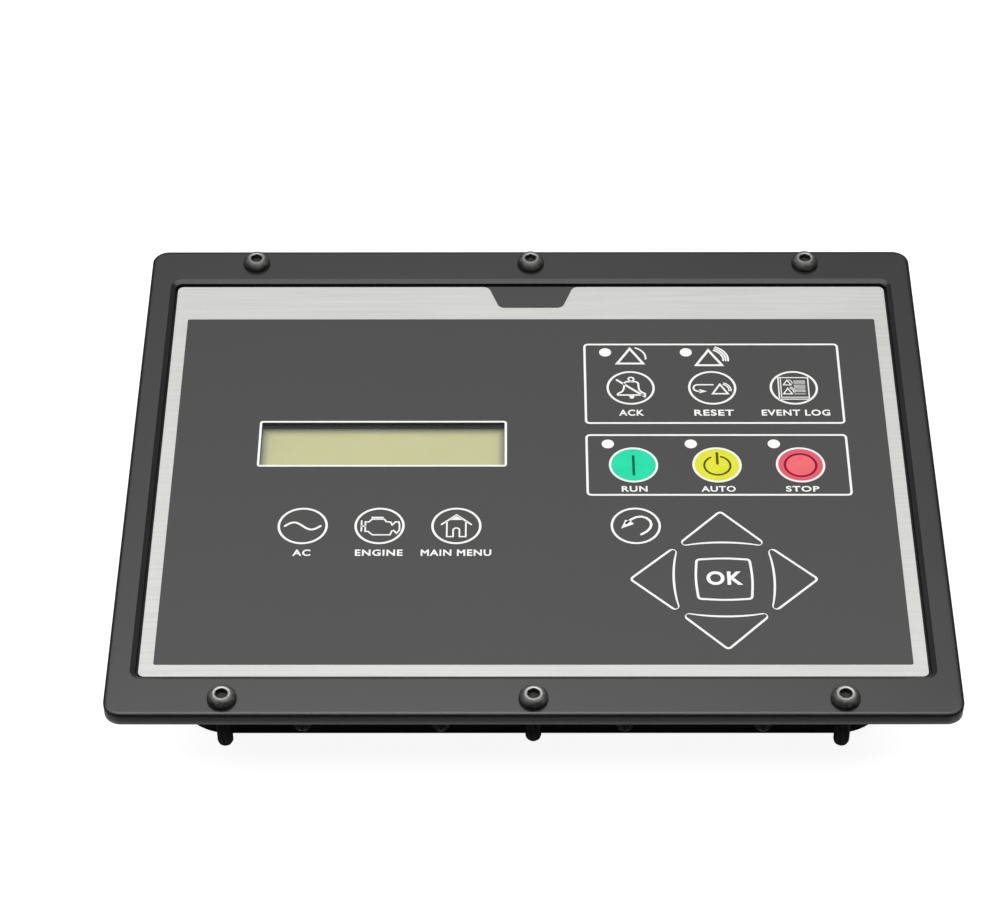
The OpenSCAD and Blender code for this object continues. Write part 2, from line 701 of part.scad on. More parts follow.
// Pads, bosses and ribs inside the housing
module housing_features() {
    for (p = board_screw_places) {
        peg(p, boss_d, board_top, plate_z - board_top);
        translate([p[0], p[1], (plate_z + board_top) / 2])
            for (a = [0, 90]) rotate(a)
                translate([-boss_d * 0.8, -rib_t / 2, 0]) cube([boss_d * 1.6, rib_t, (plate_z - board_top) / 2]);
    }
    for (p = lcd_screw_places) peg(p, lcd_boss_d, lcd_board_top, plate_z - lcd_board_top);
    difference() {
        union() {
            for (x = rib_xs) translate([x - rib_t / 2, -inner_h / 2, plate_z - rib_d]) cube([rib_t, inner_h, rib_d]);
            for (y = rib_ys) translate([-inner_w / 2, y - rib_t / 2, plate_z - rib_d]) cube([inner_w, rib_t, rib_d]);
        }
        translate([window_x - lcd_board_w / 2 - rib_clear, window_y - lcd_board_h / 2 - rib_clear, 0])
            cube([lcd_board_w + 2 * rib_clear, lcd_board_h + 2 * rib_clear, plate_z]);
        for (p = lamp_places) peg(p, collar_d + 2 * ledge_clear, 0, plate_z);
    }
    for (x = cover_screw_xs, s = [-1, 1])
        translate([x - pad_w / 2, s * (inner_h / 2 - pad_d / 2) - pad_d / 2, rim_z])
            cube([pad_w, pad_d, cover_screw_z - rim_z + pad_w / 2]);
    for (y = cover_screw_ys, s = [-1, 1])
        translate([s * (inner_w / 2 - pad_d / 2) - pad_d / 2, y - pad_w / 2, rim_z])
            cube([pad_d, pad_w, cover_screw_z - rim_z + pad_w / 2]);
}

// Places each cover screw's axis, pointing inwards along its own Z
module at_cover_screws(out) {
    for (x = cover_screw_xs, s = [-1, 1])
        translate([x, s * (housing_h / 2 + out), cover_screw_z]) rotate([s * 90, 0, 0]) children();
    for (y = cover_screw_ys, s = [-1, 1])
        translate([s * (housing_w / 2 + out), y, cover_screw_z]) rotate([0, -s * 90, 0]) children();
}

// Moulded housing: flange, raised plate, walls, bosses and ribs in one piece
module front_housing() {
    color("#262727") difference() {
        union() {
            difference() {
                union() {
                    slab(flange_w, flange_h, flange_r, frame_z, flange_t);
                    slab(film_w, film_h, film_r, flange_top, circuit_z - flange_top);
                    slab(housing_w, housing_h, housing_r, cover_h + cover_clear, flange_top - cover_h - cover_clear);
                    slab(tub_w, tub_h, tub_r, rim_z, cover_h);
                }
                slab(inner_w, inner_h, inner_r, rim_z - past, plate_z - rim_z + past);
            }
            housing_features();
        }
        translate([window_x, window_y, 0]) {
            slab(window_w, window_h, window_r, plate_z - past, plate_t + 2 * past);
            slab(lens_w + 2 * lens_clear, lens_h + 2 * lens_clear, lens_r, lens_z, lens_t);
            slab(lcd_w + 2 * lcd_pocket, lcd_h + 2 * lcd_pocket, lcd_r + lcd_pocket,
                 plate_z - past, lcd_face - plate_z + past);
        }
        translate([tail_x - tail_w / 2 - 1, tail_y - 0.8, plate_z - past]) cube([tail_w + 2, 1.6, plate_t + 2 * past]);
        for (p = lamp_places) peg(p, pipe_d + 2 * fit, plate_z - past, plate_t + 2 * past);
        for (p = board_screw_places)
            peg(p, board_screw_d + 2 * fit, board_top - past, board_screw_len - board_t + 0.5 + past);
        for (p = lcd_screw_places)
            peg(p, lcd_screw_d + 2 * fit, lcd_board_top - past, lcd_screw_len - board_t + 0.5 + past);
        for (p = flange_screw_places) translate([p[0], p[1], frame_z]) {
            translate([0, 0, -past]) cylinder(d = flange_screw_d + 2 * fit, h = flange_t + 2 * past);
            cylinder(d1 = flange_head_d + 2 * fit, d2 = flange_screw_d + 2 * fit, h = flange_head_h);
        }
        at_cover_screws(past) cylinder(d = cover_screw_d + 2 * cover_screw_clear, h = cover_screw_len + 0.5 + past);
    }
}

// Printed polycarbonate film with its window cut out
module keypad_film() {
    color("#d2d3cf") difference() {
        slab(film_w, film_h, film_r, film_z, film_t);
        translate([window_x, window_y, 0]) slab(window_w, window_h, window_r, film_z - past, film_t + 2 * past);
    }
}

// Dark field and tab, printed on the film
module field_print() {
    color("#515252") translate([0, 0, field_z]) linear_extrude(ink_t) difference() {
        union() {
            translate([0, field_y]) rounded(field_w, field_h, field_r);
            intersection() {
                translate([0, film_h / 2]) polygon(tab_outline());
                square([film_w, film_h], center = true);
            }
        }
        translate([window_x, window_y]) rounded(window_w, window_h, window_r);
    }
}

// White outlines and lamp windows, printed on the dark field
module line_print() {
    color("#f2f2ee") translate([0, 0, print_top]) linear_extrude(ink_t) {
        translate([window_x, window_y]) difference() {
            rounded(window_w + 2 * line_w, window_h + 2 * line_w, window_r + line_w);
            rounded(window_w, window_h, window_r);
        }
        translate([box_x, alarm_box_y]) difference() {
            rounded(box_w + line_w, alarm_box_h + line_w, box_r + line_w / 2);
            rounded(box_w - line_w, alarm_box_h - line_w, box_r - line_w / 2);
        }
        translate([box_x, mode_box_y]) difference() {
            rounded(box_w + line_w, mode_box_h + line_w, box_r + line_w / 2);
            rounded(box_w - line_w, mode_box_h - line_w, box_r - line_w / 2);
        }
        for (p = ring_keys) translate(p) difference() {
            circle(d = ring_d + line_w);
            circle(d = ring_d - line_w);
        }
        for (p = lamp_places) translate(p) circle(d = lamp_d);
        for (a = [0:90:270]) translate([key_x, arrows_y]) rotate(a) difference() {
            polygon(arrow_outline(0));
            polygon(arrow_outline(line_w));
        }
        translate([key_x, arrows_y]) difference() {
            polygon(confirm_outline(0));
            polygon(confirm_outline(line_w));
        }
    }
}

// One coloured disc inside a key's ring
module key_disc(place) {
    peg(place, ring_d - line_w, print_top, ink_t);
}

module run_key_print() {
    color("#25d8ac") key_disc(mode_keys[0]);
}

module auto_key_print() {
    color("#ecec1e") key_disc(mode_keys[1]);
}

module stop_key_print() {
    color("#f06a78") key_disc(mode_keys[2]);
}

// Holes for the window pane, the lamps and the tail in a keypad layer
module layer_holes(z, t, lamp_hole) {
    translate([window_x, window_y, 0])
        slab(lens_w + 2 * lens_clear, lens_h + 2 * lens_clear, lens_r, z - past, t + 2 * past);
    for (p = lamp_places) peg(p, lamp_hole, z - past, t + 2 * past);
}

// Adhesive spacer with a round hole for each snap dome
module keypad_spacer() {
    color("#101010") difference() {
        slab(film_w, film_h, film_r, spacer_z, spacer_t);
        layer_holes(spacer_z, spacer_t, pipe_d + 4 * fit);
        for (p = dome_places) peg(p, dome_d + 2 * dome_clear, spacer_z - past, spacer_t + 2 * past);
    }
}

// Pressed steel domes that click under the keys
module snap_domes() {
    r = dome_d / 2;
    profile = [
        [0, dome_h], [r * 0.3, dome_h], [r * 0.8, dome_t * 2], [r, dome_t], [r, 0], [r * 0.88, 0],
        [r * 0.76, dome_t], [r * 0.28, dome_h - dome_t], [0, dome_h - dome_t]
    ];
    color("#c8c8c8") for (p = dome_places) translate([p[0], p[1], spacer_z]) rotate_extrude() polygon(profile);
}

// Flexible circuit layer with the tail that drops to the main board
module keypad_circuit() {
    socket_floor = board_top + 1;
    color("#3f4a43") {
        difference() {
            slab(film_w, film_h, film_r, circuit_z, circuit_t);
            layer_holes(circuit_z, circuit_t, pipe_d + 4 * fit);
        }
        translate([tail_x - tail_w / 2, tail_y - circuit_t / 2, socket_floor])
            cube([tail_w, circuit_t, circuit_z - socket_floor]);
    }
}

// Clear acrylic pane bonded under the film
module window_pane() {
    color([0.9, 0.93, 0.9, 0.35]) translate([window_x, window_y, 0]) slab(lens_w, lens_h, lens_r - lens_clear, lens_z, lens_t);
}

// Pressed metal frame round the display glass
module lcd_frame() {
    color("#1b1b1b") translate([window_x, window_y, 0]) difference() {
        slab(lcd_w, lcd_h, lcd_r, lcd_board_top, lcd_d);
        slab(lcd_w - 2 * lcd_sheet, lcd_h - 2 * lcd_sheet, lcd_r - lcd_sheet / 2, lcd_board_top - past, lcd_d - lcd_sheet + past);
        slab(window_w + 2 * lcd_margin, window_h + 2 * lcd_margin, lcd_r, lcd_board_top, lcd_d + past);
    }
}

// Display glass, its face against the metal frame
module lcd_glass() {
    color("#c9c896") translate([window_x, window_y, 0])
        slab(lcd_w - 2 * lcd_sheet, lcd_h - 2 * lcd_sheet, lcd_r - lcd_sheet / 2,
             lcd_face - lcd_sheet - lcd_glass_t, lcd_glass_t);
}

// Light guide between the display glass and its board
module lcd_light_guide() {
    color("#e9eadf") translate([window_x, window_y, 0])
        slab(lcd_w - 2 * lcd_sheet, lcd_h - 2 * lcd_sheet, lcd_r - lcd_sheet / 2,
             lcd_board_top, lcd_d - lcd_sheet - lcd_glass_t);
}

// Display connector pins, two rows up the board's right edge
lcd_pin_rows = 8;
lcd_pin_pitch = 2.54;
lcd_pin_d = 0.7;
lcd_pin_up = 1;
lcd_connector_w = 5;
lcd_pin_places = [
    for (i = [0:lcd_pin_rows - 1], s = [-1, 1])
        [window_x + lcd_hole_w / 2 + s * lcd_pin_pitch / 2, window_y + (i - (lcd_pin_rows - 1) / 2) * lcd_pin_pitch]
];

module lcd_board() {
    color("#1f5a35") difference() {
        translate([window_x, window_y, 0]) slab(lcd_board_w, lcd_board_h, lcd_r, lcd_board_z, board_t);
        for (p = lcd_screw_places) peg(p, lcd_screw_d + 2 * fit, lcd_board_z - past, board_t + 2 * past);
        for (p = lcd_pin_places) peg(p, lcd_pin_d + fit, lcd_board_z - past, board_t + 2 * past);
    }
}

// Pan head screw with a cross recess: head below the origin, shank upwards
module pan_screw(d, head_d, head_h, len) {
    round_r = head_h * 0.5;
    profile = [
        [0, -head_h], [head_d / 2 - round_r, -head_h], [head_d / 2 - round_r * 0.29, -head_h + round_r * 0.29],
        [head_d / 2, -head_h + round_r], [head_d / 2, 0], [d / 2, 0], [d / 2, len - d / 4], [d / 4, len], [0, len]
    ];
    difference() {
        rotate_extrude() polygon(profile);
        for (a = [0, 90]) rotate(a)
            translate([-head_d * 0.28, -d * 0.1, -head_h - past]) cube([head_d * 0.56, d * 0.2, head_h * 0.5 + past]);
    }
}

module lcd_screws() {
    color("silver") for (p = lcd_screw_places) translate([p[0], p[1], lcd_board_z])
        pan_screw(lcd_screw_d, lcd_head_d, lcd_head_h, lcd_screw_len);
}

// Pin header that joins the display's board to the main board
module lcd_connector() {
    color("#151515") {
        translate([window_x + lcd_hole_w / 2 - lcd_connector_w / 2,
                   window_y - lcd_pin_rows * lcd_pin_pitch / 2, board_top])
            cube([lcd_connector_w, lcd_pin_rows * lcd_pin_pitch, lcd_board_z - board_top]);
        for (p = lcd_pin_places) peg(p, lcd_pin_d, lcd_board_z, board_t + lcd_pin_up);
    }
}

// Clear acrylic light pipes with a collar that seats under the plate
module light_pipes() {
    color([0.92, 0.94, 0.95, 0.5]) for (p = lamp_places) {
        peg(p, pipe_d, board_top + lamp_h + lamp_air, film_z - board_top - lamp_h - lamp_air);
        peg(p, collar_d, plate_z - collar_t, collar_t);
    }
}

module status_lamps() {
    lamp_w = 3.5;
    lamp_l = 2.8;
    color("#efeee4") for (p = lamp_places)
        translate([p[0] - lamp_w / 2, p[1] - lamp_l / 2, board_top]) cube([lamp_w, lamp_l, lamp_h]);
}

// Pin places of the header, in two blocks beside the jack
pin_places = [
    for (s = [-1, 1], i = [0:pin_cols - 1], j = [0:pin_rows - 1])
        [s * (pin_first + i * pin_pitch), header_y + (j - (pin_rows - 1) / 2) * pin_pitch]
];

module main_board() {
    color("#1d6b3a") difference() {
        slab(board_w, board_h, board_r, board_z, board_t);
        for (p = board_screw_places) peg(p, board_screw_d + 4 * fit, board_z - past, board_t + 2 * past);
        for (p = pin_places) peg(p, pin_d + 2 * fit, board_z - past, board_t + 2 * past);
    }
}

module board_screws() {
    color("silver") for (p = board_screw_places) translate([p[0], p[1], board_z])
        pan_screw(board_screw_d, board_head_d, board_head_h, board_screw_len);
}

// Flat chip on the board's front with a row of leads on two or four sides
module chip(w, l, h, leads, four) {
    lead_out = 1;
    lead_w = 0.5;
    lead_h = h * 0.45;
    translate([-w / 2, -l / 2, 0.1]) cube([w, l, h - 0.1]);
    for (a = four ? [0, 90] : [0]) rotate(a)
        for (i = [0:leads - 1], s = [-1, 1])
            translate([s * (w / 2 + lead_out / 2) - lead_out / 2, (i - (leads - 1) / 2) * l * 0.85 / leads - lead_w / 2, 0])
                cube([lead_out, lead_w, lead_h]);
}

// The processor lies beside the header's pins, with logic chips round it and between the lamp rows
processor_size = 22;
chip_w = 6;
chip_l = 10;
chip_step = 30;
processor_place = [board_w / 2 - 2 * chip_step, header_y + (processor_size + chip_step) / 2];
module processor_chip() {
    color("#1a1a1a") translate([processor_place[0], processor_place[1], board_top])
        chip(processor_size, processor_size, board_t, 16, true);
}

module logic_chips() {
    lamp_rows = mode_keys[0][1] + mode_lamp_up + alarm_keys[0][1] + alarm_lamp_up;
    places = concat(
        [for (p = [[-1, 0], [1, 0], [1, -0.75]]) processor_place + p * chip_step],
        [for (i = [-1:1]) [key_x + i * key_pitch, lamp_rows / 2]]
    );
    color("#1a1a1a") for (p = places) translate([p[0], p[1], board_top]) chip(chip_w, chip_l, board_t, 8, false);
}

// Socket that grips the keypad's tail
module ribbon_socket() {
    socket_h = 3.4;
    socket_d = 4.6;
    side = 2.5;
    color("#e3dfd0") translate([tail_x, tail_y, board_top]) difference() {
        translate([-tail_w / 2 - side, -socket_d / 2, 0]) cube([tail_w + 2 * side, socket_d, socket_h]);
        translate([-tail_w / 2 - 0.2, -circuit_t / 2 - 0.1, 1]) cube([tail_w + 0.4, circuit_t + 0.2, socket_h]);
    }
}

// Coin cell for the clock and the cup that holds it
battery_d = 20;
battery_place = [tail_x - battery_d, tail_y + 1.4 * battery_d];
battery_h = 3.2;
cup_floor = 1;
module battery_holder() {
    cup_wall = 1.4;
    cup_h = 3.6;
    notch = 10;
    color("#222222") translate([battery_place[0], battery_place[1], board_top]) difference() {
        cylinder(d = battery_d + 2 * (cup_wall + fit), h = cup_h);
        translate([0, 0, cup_floor]) cylinder(d = battery_d + 2 * fit, h = cup_h);
        translate([battery_d / 4, -notch / 2, cup_floor]) cube([battery_d, notch, cup_h]);
    }
}

module clock_battery() {
    edge = 0.6;
    color("#c9cacc") translate([battery_place[0], battery_place[1], board_top + cup_floor]) {
        cylinder(d = battery_d - 2 * edge, h = battery_h);
        cylinder(d = battery_d, h = battery_h - edge);
    }
}

// Relays on the board's back, in a row from its upper left corner
relay_size = [19, 15.5, 15.2];
relay_step = 25;
relay_row = [relay_size[0] / 2 + 13.5 - board_w / 2, board_h / 2 - 33];
module relays() {
    edge = 1.2;
    color("#1d1e22") for (i = [0:3])
        translate([relay_row[0] + i * relay_step - relay_size[0] / 2, relay_row[1] - relay_size[1] / 2,
                   board_z - relay_size[2]])
            difference() {
                cube(relay_size);
                for (x = [0, relay_size[0]]) translate([x, relay_size[1] / 2, 0]) rotate([0, 45, 0])
                    cube([edge, relay_size[1] + 2 * past, edge], center = true);
            }
}

// Radial capacitors on the board's back, in a row below the relays
capacitor_d = 12.6;
capacitor_h = 14;
capacitor_step = 17;
capacitor_down = 44;
module capacitors() {
    r = capacitor_d / 2;
    h = capacitor_h;
    groove = 0.5;
    color("#26303f") for (i = [0:3])
        translate([relay_row[0] + i * capacitor_step, relay_row[1] - capacitor_down, board_z - h])
            rotate_extrude() polygon([
                [0, groove / 2], [r * 0.8, groove / 2], [r * 0.88, 0], [r - groove / 2, 0], [r, groove],
                [r, h * 0.77], [r - groove, h * 0.81], [r, h * 0.85], [r, h], [0, h]
            ]);
}

// Potted current transformers on the board's back, in a row from its upper right corner
transformer_size = [24, 14];
transformer_step = 32;
transformer_air = 3.7;
transformer_in = 29;
module current_transformers() {
    h = board_z - cover_t - press_d - transformer_air;
    core_d = transformer_size[1] / 2;
    color("#2b3d66") for (i = [0:2])
        translate([board_w / 2 - transformer_in - i * transformer_step, relay_row[1], board_z - h]) difference() {
            slab(transformer_size[0], transformer_size[1], core_d / 4, 0, h);
            translate([0, 0, -past]) cylinder(d = core_d, h = core_d / 2 + past);
        }
}

// Toroidal inductor lying on its base on the board's back
inductor_r = 9;
inductor_core_r = 4;
inductor_in = 35;
inductor_down = 50;
module power_inductor() {
    base_t = inductor_core_r / 2;
    color("#8a4a22") translate([board_w / 2 - inductor_in, relay_row[1] - inductor_down, board_z - base_t]) {
        cylinder(r = inductor_r + inductor_core_r, h = base_t);
        translate([0, 0, -inductor_core_r * 0.9])
            rotate_extrude() translate([inductor_r, 0]) circle(inductor_core_r);
    }
}

// Shell of the many-pin header, its mouth in the cover's cut-out
module header_shell() {
    color("#121313") translate([0, header_y, 0]) difference() {
        union() {
            slab(header_w, header_h, header_r, mouth_z, header_len);
            slab(header_w + 2 * header_flange, header_h + 2 * header_flange, header_r + header_flange,
                 seal_top, header_flange_t);
        }
        slab(header_w - 2 * header_wall, header_h - 2 * header_wall, header_r - header_wall,
             mouth_z - past, header_len + 2 * past);
    }
}

// Insulator that holds the pins at the bottom of the shell
module pin_carrier() {
    color("#2c2d2d") difference() {
        translate([0, header_y, 0])
            slab(header_w - 2 * header_wall - 2 * fit, header_h - 2 * header_wall - 2 * fit,
                 header_r - header_wall - fit, board_z - carrier_t, carrier_t);
        for (p = pin_places) peg(p, pin_d + fit, board_z - carrier_t - past, carrier_t + 2 * past);
        peg([0, header_y], jack_d + 2 * fit, board_z - carrier_t - past, carrier_t + 2 * past);
    }
}

module header_pins() {
    color("#c9a24a") for (p = pin_places) peg(p, pin_d, board_z - pin_len, pin_len + board_t + pin_tail);
}

// Ring seal between the header's flange and the cover
module header_seal() {
    color("#7d2f22") translate([0, header_y, 0])
        band(header_w + 2 * header_flange - 1, header_h + 2 * header_flange - 1, header_r + header_flange - 0.5,
             header_flange - 0.5 - header_gap - 0.3, cover_t, seal_t);
}

// Brass insert that takes the mating plug's jack screw
module jack_insert() {
    color("#b58d3d") translate([0, header_y, board_z - jack_len]) difference() {
        cylinder(d = jack_d, h = jack_len);
        translate([0, 0, -past]) cylinder(r = jack_r, h = jack_depth + past);
    }
}

// Drawn sheet cover with a pressed panel and the header's cut-out
module rear_cover() {
    press_top = housing_h / 2 - press_end;
    press_foot = header_y + header_h / 2 + header_flange + press_gap;
    press_w = housing_w - 2 * press_side;
    press_h = press_top - press_foot;
    press_middle = (press_top + press_foot) / 2;
    edge = concat([for (a = [0:22.5:90]) [cover_edge_r * (1 - sin(a)), cover_edge_r * (1 - cos(a))]], [[0, cover_h]]);
    color("#222323") difference() {
        union() {
            difference() {
                edged(housing_w, housing_h, housing_r, edge);
                slab(housing_w - 2 * cover_t, housing_h - 2 * cover_t, housing_r - cover_t, cover_t, cover_h);
            }
            translate([0, press_middle, 0]) slab(press_w, press_h, press_r, cover_t / 2, cover_t / 2 + press_d);
        }
        translate([0, press_middle, 0])
            slab(press_w - 2 * cover_t, press_h - 2 * cover_t, press_r - cover_t, -past, press_d + past);
        translate([0, header_y, 0])
            slab(header_w + 2 * header_gap, header_h + 2 * header_gap, header_r + header_gap, -past, cover_t + 2 * past);
        peg(vent_place, vent_hole_d, -past, cover_t + 2 * past);
        at_cover_screws(past) cylinder(d = cover_screw_d + 4 * cover_screw_clear, h = cover_t + cover_clear + 2 * past);
    }
}

// Flat gasket between the housing's rim and the cover
module cover_gasket() {
    color("#3a3a3a") band(tub_w, tub_h, tub_r, wall_t - cover_t - cover_clear, cover_t, cover_gasket_t);
}

module cover_screws() {
    color("#c4c6c8") at_cover_screws(0) pan_screw(cover_screw_d, cover_head_d, cover_head_h, cover_screw_len);
}

// Thin breathable disc over the vent hole, inside the cover
module vent_membrane() {
    color("#eeeeee") peg(vent_place, vent_d, cover_t, vent_t);
}

bezel_frame();
panel_screws();
panel_gasket();
flange_screws();
front_housing();
keypad_film();
field_print();
line_print();
run_key_print();
auto_key_print();
stop_key_print();
keypad_spacer();
snap_domes();
keypad_circuit();
window_pane();
lcd_frame();
lcd_glass();
lcd_light_guide();
lcd_board();
lcd_screws();
lcd_connector();
light_pipes();
status_lamps();
main_board();
board_screws();
processor_chip();
logic_chips();
ribbon_socket();
battery_holder();
clock_battery();
relays();
capacitors();
current_transformers();
power_inductor();
header_shell();
pin_carrier();
header_pins();
header_seal();
jack_insert();
rear_cover();
cover_gasket();
cover_screws();
vent_membrane();
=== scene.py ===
import bmesh
import bpy
import math
import numpy as np
from mathutils import Matrix, Vector


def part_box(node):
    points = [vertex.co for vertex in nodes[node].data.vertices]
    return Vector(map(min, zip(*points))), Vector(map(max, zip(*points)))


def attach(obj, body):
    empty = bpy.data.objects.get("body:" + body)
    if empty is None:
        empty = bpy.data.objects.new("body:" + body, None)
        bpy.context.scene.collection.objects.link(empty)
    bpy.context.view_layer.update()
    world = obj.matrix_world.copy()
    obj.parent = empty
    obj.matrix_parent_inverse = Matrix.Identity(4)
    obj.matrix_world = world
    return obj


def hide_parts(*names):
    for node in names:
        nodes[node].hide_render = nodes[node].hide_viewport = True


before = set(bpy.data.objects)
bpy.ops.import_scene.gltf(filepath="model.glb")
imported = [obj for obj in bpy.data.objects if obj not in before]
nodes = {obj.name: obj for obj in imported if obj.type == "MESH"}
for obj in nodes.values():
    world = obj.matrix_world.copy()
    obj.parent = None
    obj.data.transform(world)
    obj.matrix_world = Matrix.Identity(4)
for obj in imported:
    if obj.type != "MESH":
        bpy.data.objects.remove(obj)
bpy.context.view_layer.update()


# Bezel frame
# The dark metal frame that clamps the keypad to the panel: one casting with a bevelled
# opening, powder coated. The coat is fine and even, a little thinner and paler on the edges,
# where the paler edge also serves as a painted highlight; a band round the outer edges is
# painted darker as shade.

def add(tree, kind, inputs=(), **settings):
    """Adds a shader node; an input takes a plain value, or another node's socket."""
    new = tree.nodes.new("ShaderNode" + kind)
    for key, value in settings.items():
        setattr(new, key, value)
    for key, value in dict(inputs).items():
        if isinstance(value, bpy.types.NodeSocket):
            tree.links.new(value, new.inputs[key])
        else:
            new.inputs[key].default_value = value
    return new


def effect(name, inputs, outputs):
    """Starts a node group with named sockets and returns its tree, its inputs and its outputs."""
    tree = bpy.data.node_groups.new(name, "ShaderNodeTree")
    for label, kind in inputs.items():
        tree.interface.new_socket(label, in_out="INPUT", socket_type="NodeSocket" + kind)
    for label, kind in outputs.items():
        tree.interface.new_socket(label, in_out="OUTPUT", socket_type="NodeSocket" + kind)
    return tree, tree.nodes.new("NodeGroupInput").outputs, tree.nodes.new("NodeGroupOutput").inputs


def grain_effect():
    """Colour, gloss and relief of a moulded, painted or printed surface.
    Soft clouds and fine grain are noises that run at one over their size in metres. Their sum,
    six parts cloud to four of grain, picks a colour and a roughness between the two ends given,
    and the grain alone is the relief."""
    tree, given, out = effect(
        "grain",
        {"Dark": "Color", "Light": "Color", "Cloud": "Float", "Grain": "Float",
         "Smooth": "Float", "Dull": "Float"},
        {"Color": "Color", "Roughness": "Float", "Height": "Float"})
    place = add(tree, "TexCoord").outputs["Object"]
    noises = {}
    for size, detail in (("Cloud", 3.0), ("Grain", 2.0)):
        rate = add(tree, "Math", {0: 1.0, 1: given[size]}, operation="DIVIDE").outputs[0]
        noise = add(tree, "TexNoise", {"Vector": place, "Scale": rate, "Detail": detail})
        noises[size] = noise.outputs[0]
    mixed = add(tree, "Mix", {"Factor": 0.4, "A": noises["Cloud"], "B": noises["Grain"]})
    mixed = mixed.outputs["Result"]
    mask = add(tree, "MapRange", {"Value": mixed, "From Min": 0.35, "From Max": 0.65}).outputs[0]
    colour = add(tree, "Mix", {"Factor": mask}, data_type="RGBA")
    tree.links.new(given["Dark"], colour.inputs[6])
    tree.links.new(given["Light"], colour.inputs[7])
    gloss = add(tree, "MapRange",
                {"Value": mask, "To Min": given["Smooth"], "To Max": given["Dull"]})
    tree.links.new(colour.outputs[2], out["Color"])
    tree.links.new(gloss.outputs[0], out["Roughness"])
    tree.links.new(noises["Grain"], out["Height"])
    return tree


grain = grain_effect()


def place_effect(tree, group, **inputs):
    """Places a node group in a material with its own values."""
    new = add(tree, "Group", node_tree=group)
    for label, value in inputs.items():
        new.inputs[label].default_value = value
    return new


def finish(name, dark, light, cloud, fine, smooth, dull, relief, **constants):
    """A material whose colour, roughness and bump come from the grain group. Cloud, fine and
    relief are the clouds' size and the grain's size and depth in metres, smooth and dull are the
    least and the greatest roughness, and constants go on the shader's own sockets."""
    material = bpy.data.materials.new(name)
    material.use_nodes = True
    tree = material.node_tree
    shader = tree.nodes["Principled BSDF"]
    made = place_effect(tree, grain, Dark=(*dark, 1), Light=(*light, 1), Cloud=cloud, Grain=fine,
                        Smooth=smooth, Dull=dull)
    bump = add(tree, "Bump",
               {"Height": made.outputs["Height"], "Distance": relief, "Strength": 1.0})
    tree.links.new(made.outputs["Color"], shader.inputs["Base Color"])
    tree.links.new(made.outputs["Roughness"], shader.inputs["Roughness"])
    tree.links.new(bump.outputs[0], shader.inputs["Normal"])
    for key, value in constants.items():
        shader.inputs[key.replace("_", " ")].default_value = value
    return material


def lay_over(material, mask, **sockets):
    """Lays a colour or a number over what a shader socket holds, as far as the mask is white."""
    tree = material.node_tree
    shader = tree.nodes["Principled BSDF"]
    for key, value in sockets.items():
        socket = shader.inputs[key.replace("_", " ")]
        is_colour = socket.type == "RGBA"
        mix = add(tree, "Mix", data_type="RGBA" if is_colour else "FLOAT")
        first, second = (6, 7) if is_colour else (2, 3)
        if socket.is_linked:
            tree.links.new(socket.links[0].from_socket, mix.inputs[first])
        else:
            mix.inputs[first].default_value = socket.default_value
        mix.inputs[second].default_value = (*value, 1) if is_colour else value
        tree.links.new(mask, mix.inputs["Factor"])
        tree.links.new(mix.outputs[2 if is_colour else 0], socket)


def dress(material, *names):
    """Puts a material on the solids of these names."""
    for name in names:
        for place in nodes[name].material_slots:
            place.material = material


def edge_effect():
    """Where an edge has lost its coat: one minus the cosine between the true normal and the
    normal of a rounded edge of the given radius, strengthened and broken up by noise."""
    tree, given, out = effect("edge wear", {"Radius": "Float", "Amount": "Float"},
                              {"Mask": "Float"})
    soft = add(tree, "Bevel", {"Radius": given["Radius"]}, samples=4).outputs[0]
    true = add(tree, "NewGeometry").outputs["Normal"]
    same = add(tree, "VectorMath", {0: soft, 1: true}, operation="DOT_PRODUCT").outputs["Value"]
    turned = add(tree, "Math", {0: 1.0, 1: same}, operation="SUBTRACT").outputs[0]
    place = add(tree, "TexCoord").outputs["Object"]
    patch = add(tree, "TexNoise", {"Vector": place, "Scale": 180.0, "Detail": 3.0}).outputs[0]
    patch = add(tree, "MapRange", {"Value": patch, "From Min": 0.4, "From Max": 0.6}).outputs[0]
    worn = add(tree, "Math", {0: turned, 1: patch}, operation="MULTIPLY").outputs[0]
    worn = add(tree, "Math", {0: worn, 1: given["Amount"]}, operation="MULTIPLY",
               use_clamp=True).outputs[0]
    tree.links.new(worn, out["Mask"])
    return tree


edge_wear = edge_effect()
frame_coat = finish("frame_coat", dark=(0.006, 0.006, 0.006), light=(0.009, 0.009, 0.009),
                    cloud=0.045, fine=0.0009, smooth=0.28, dull=0.36, relief=0.000005,
                    Specular_IOR_Level=0.6)
# Paler edges: partly a thinner coat, partly a painted highlight along the front and rear edges.
thin_edge_and_highlight = place_effect(frame_coat.node_tree, edge_wear, Radius=0.0007, Amount=1.6)
lay_over(frame_coat, thin_edge_and_highlight.outputs["Mask"], Base_Color=(0.010, 0.010, 0.010), Roughness=0.28)


def border_effect():
    """What lies beyond a rectangle: the greater of how far a point is outside it across and along,
    over the width of the soft edge, held between nought and one."""
    tree, given, out = effect("border", {"Centre": "Vector", "Half": "Vector", "Soft": "Float"},
                              {"Mask": "Float"})
    place = add(tree, "TexCoord").outputs["Object"]
    away = add(tree, "VectorMath", {0: place, 1: given["Centre"]}, operation="SUBTRACT").outputs[0]
    away = add(tree, "VectorMath", {0: away}, operation="ABSOLUTE").outputs[0]
    past = add(tree, "VectorMath", {0: away, 1: given["Half"]}, operation="SUBTRACT").outputs[0]
    sides = add(tree, "SeparateXYZ", {0: past}).outputs
    most = add(tree, "Math", {0: sides["X"], 1: sides["Y"]}, operation="MAXIMUM").outputs[0]
    share = add(tree, "Math", {0: most, 1: given["Soft"]}, operation="DIVIDE",
                use_clamp=True).outputs[0]
    tree.links.new(share, out["Mask"])
    return tree


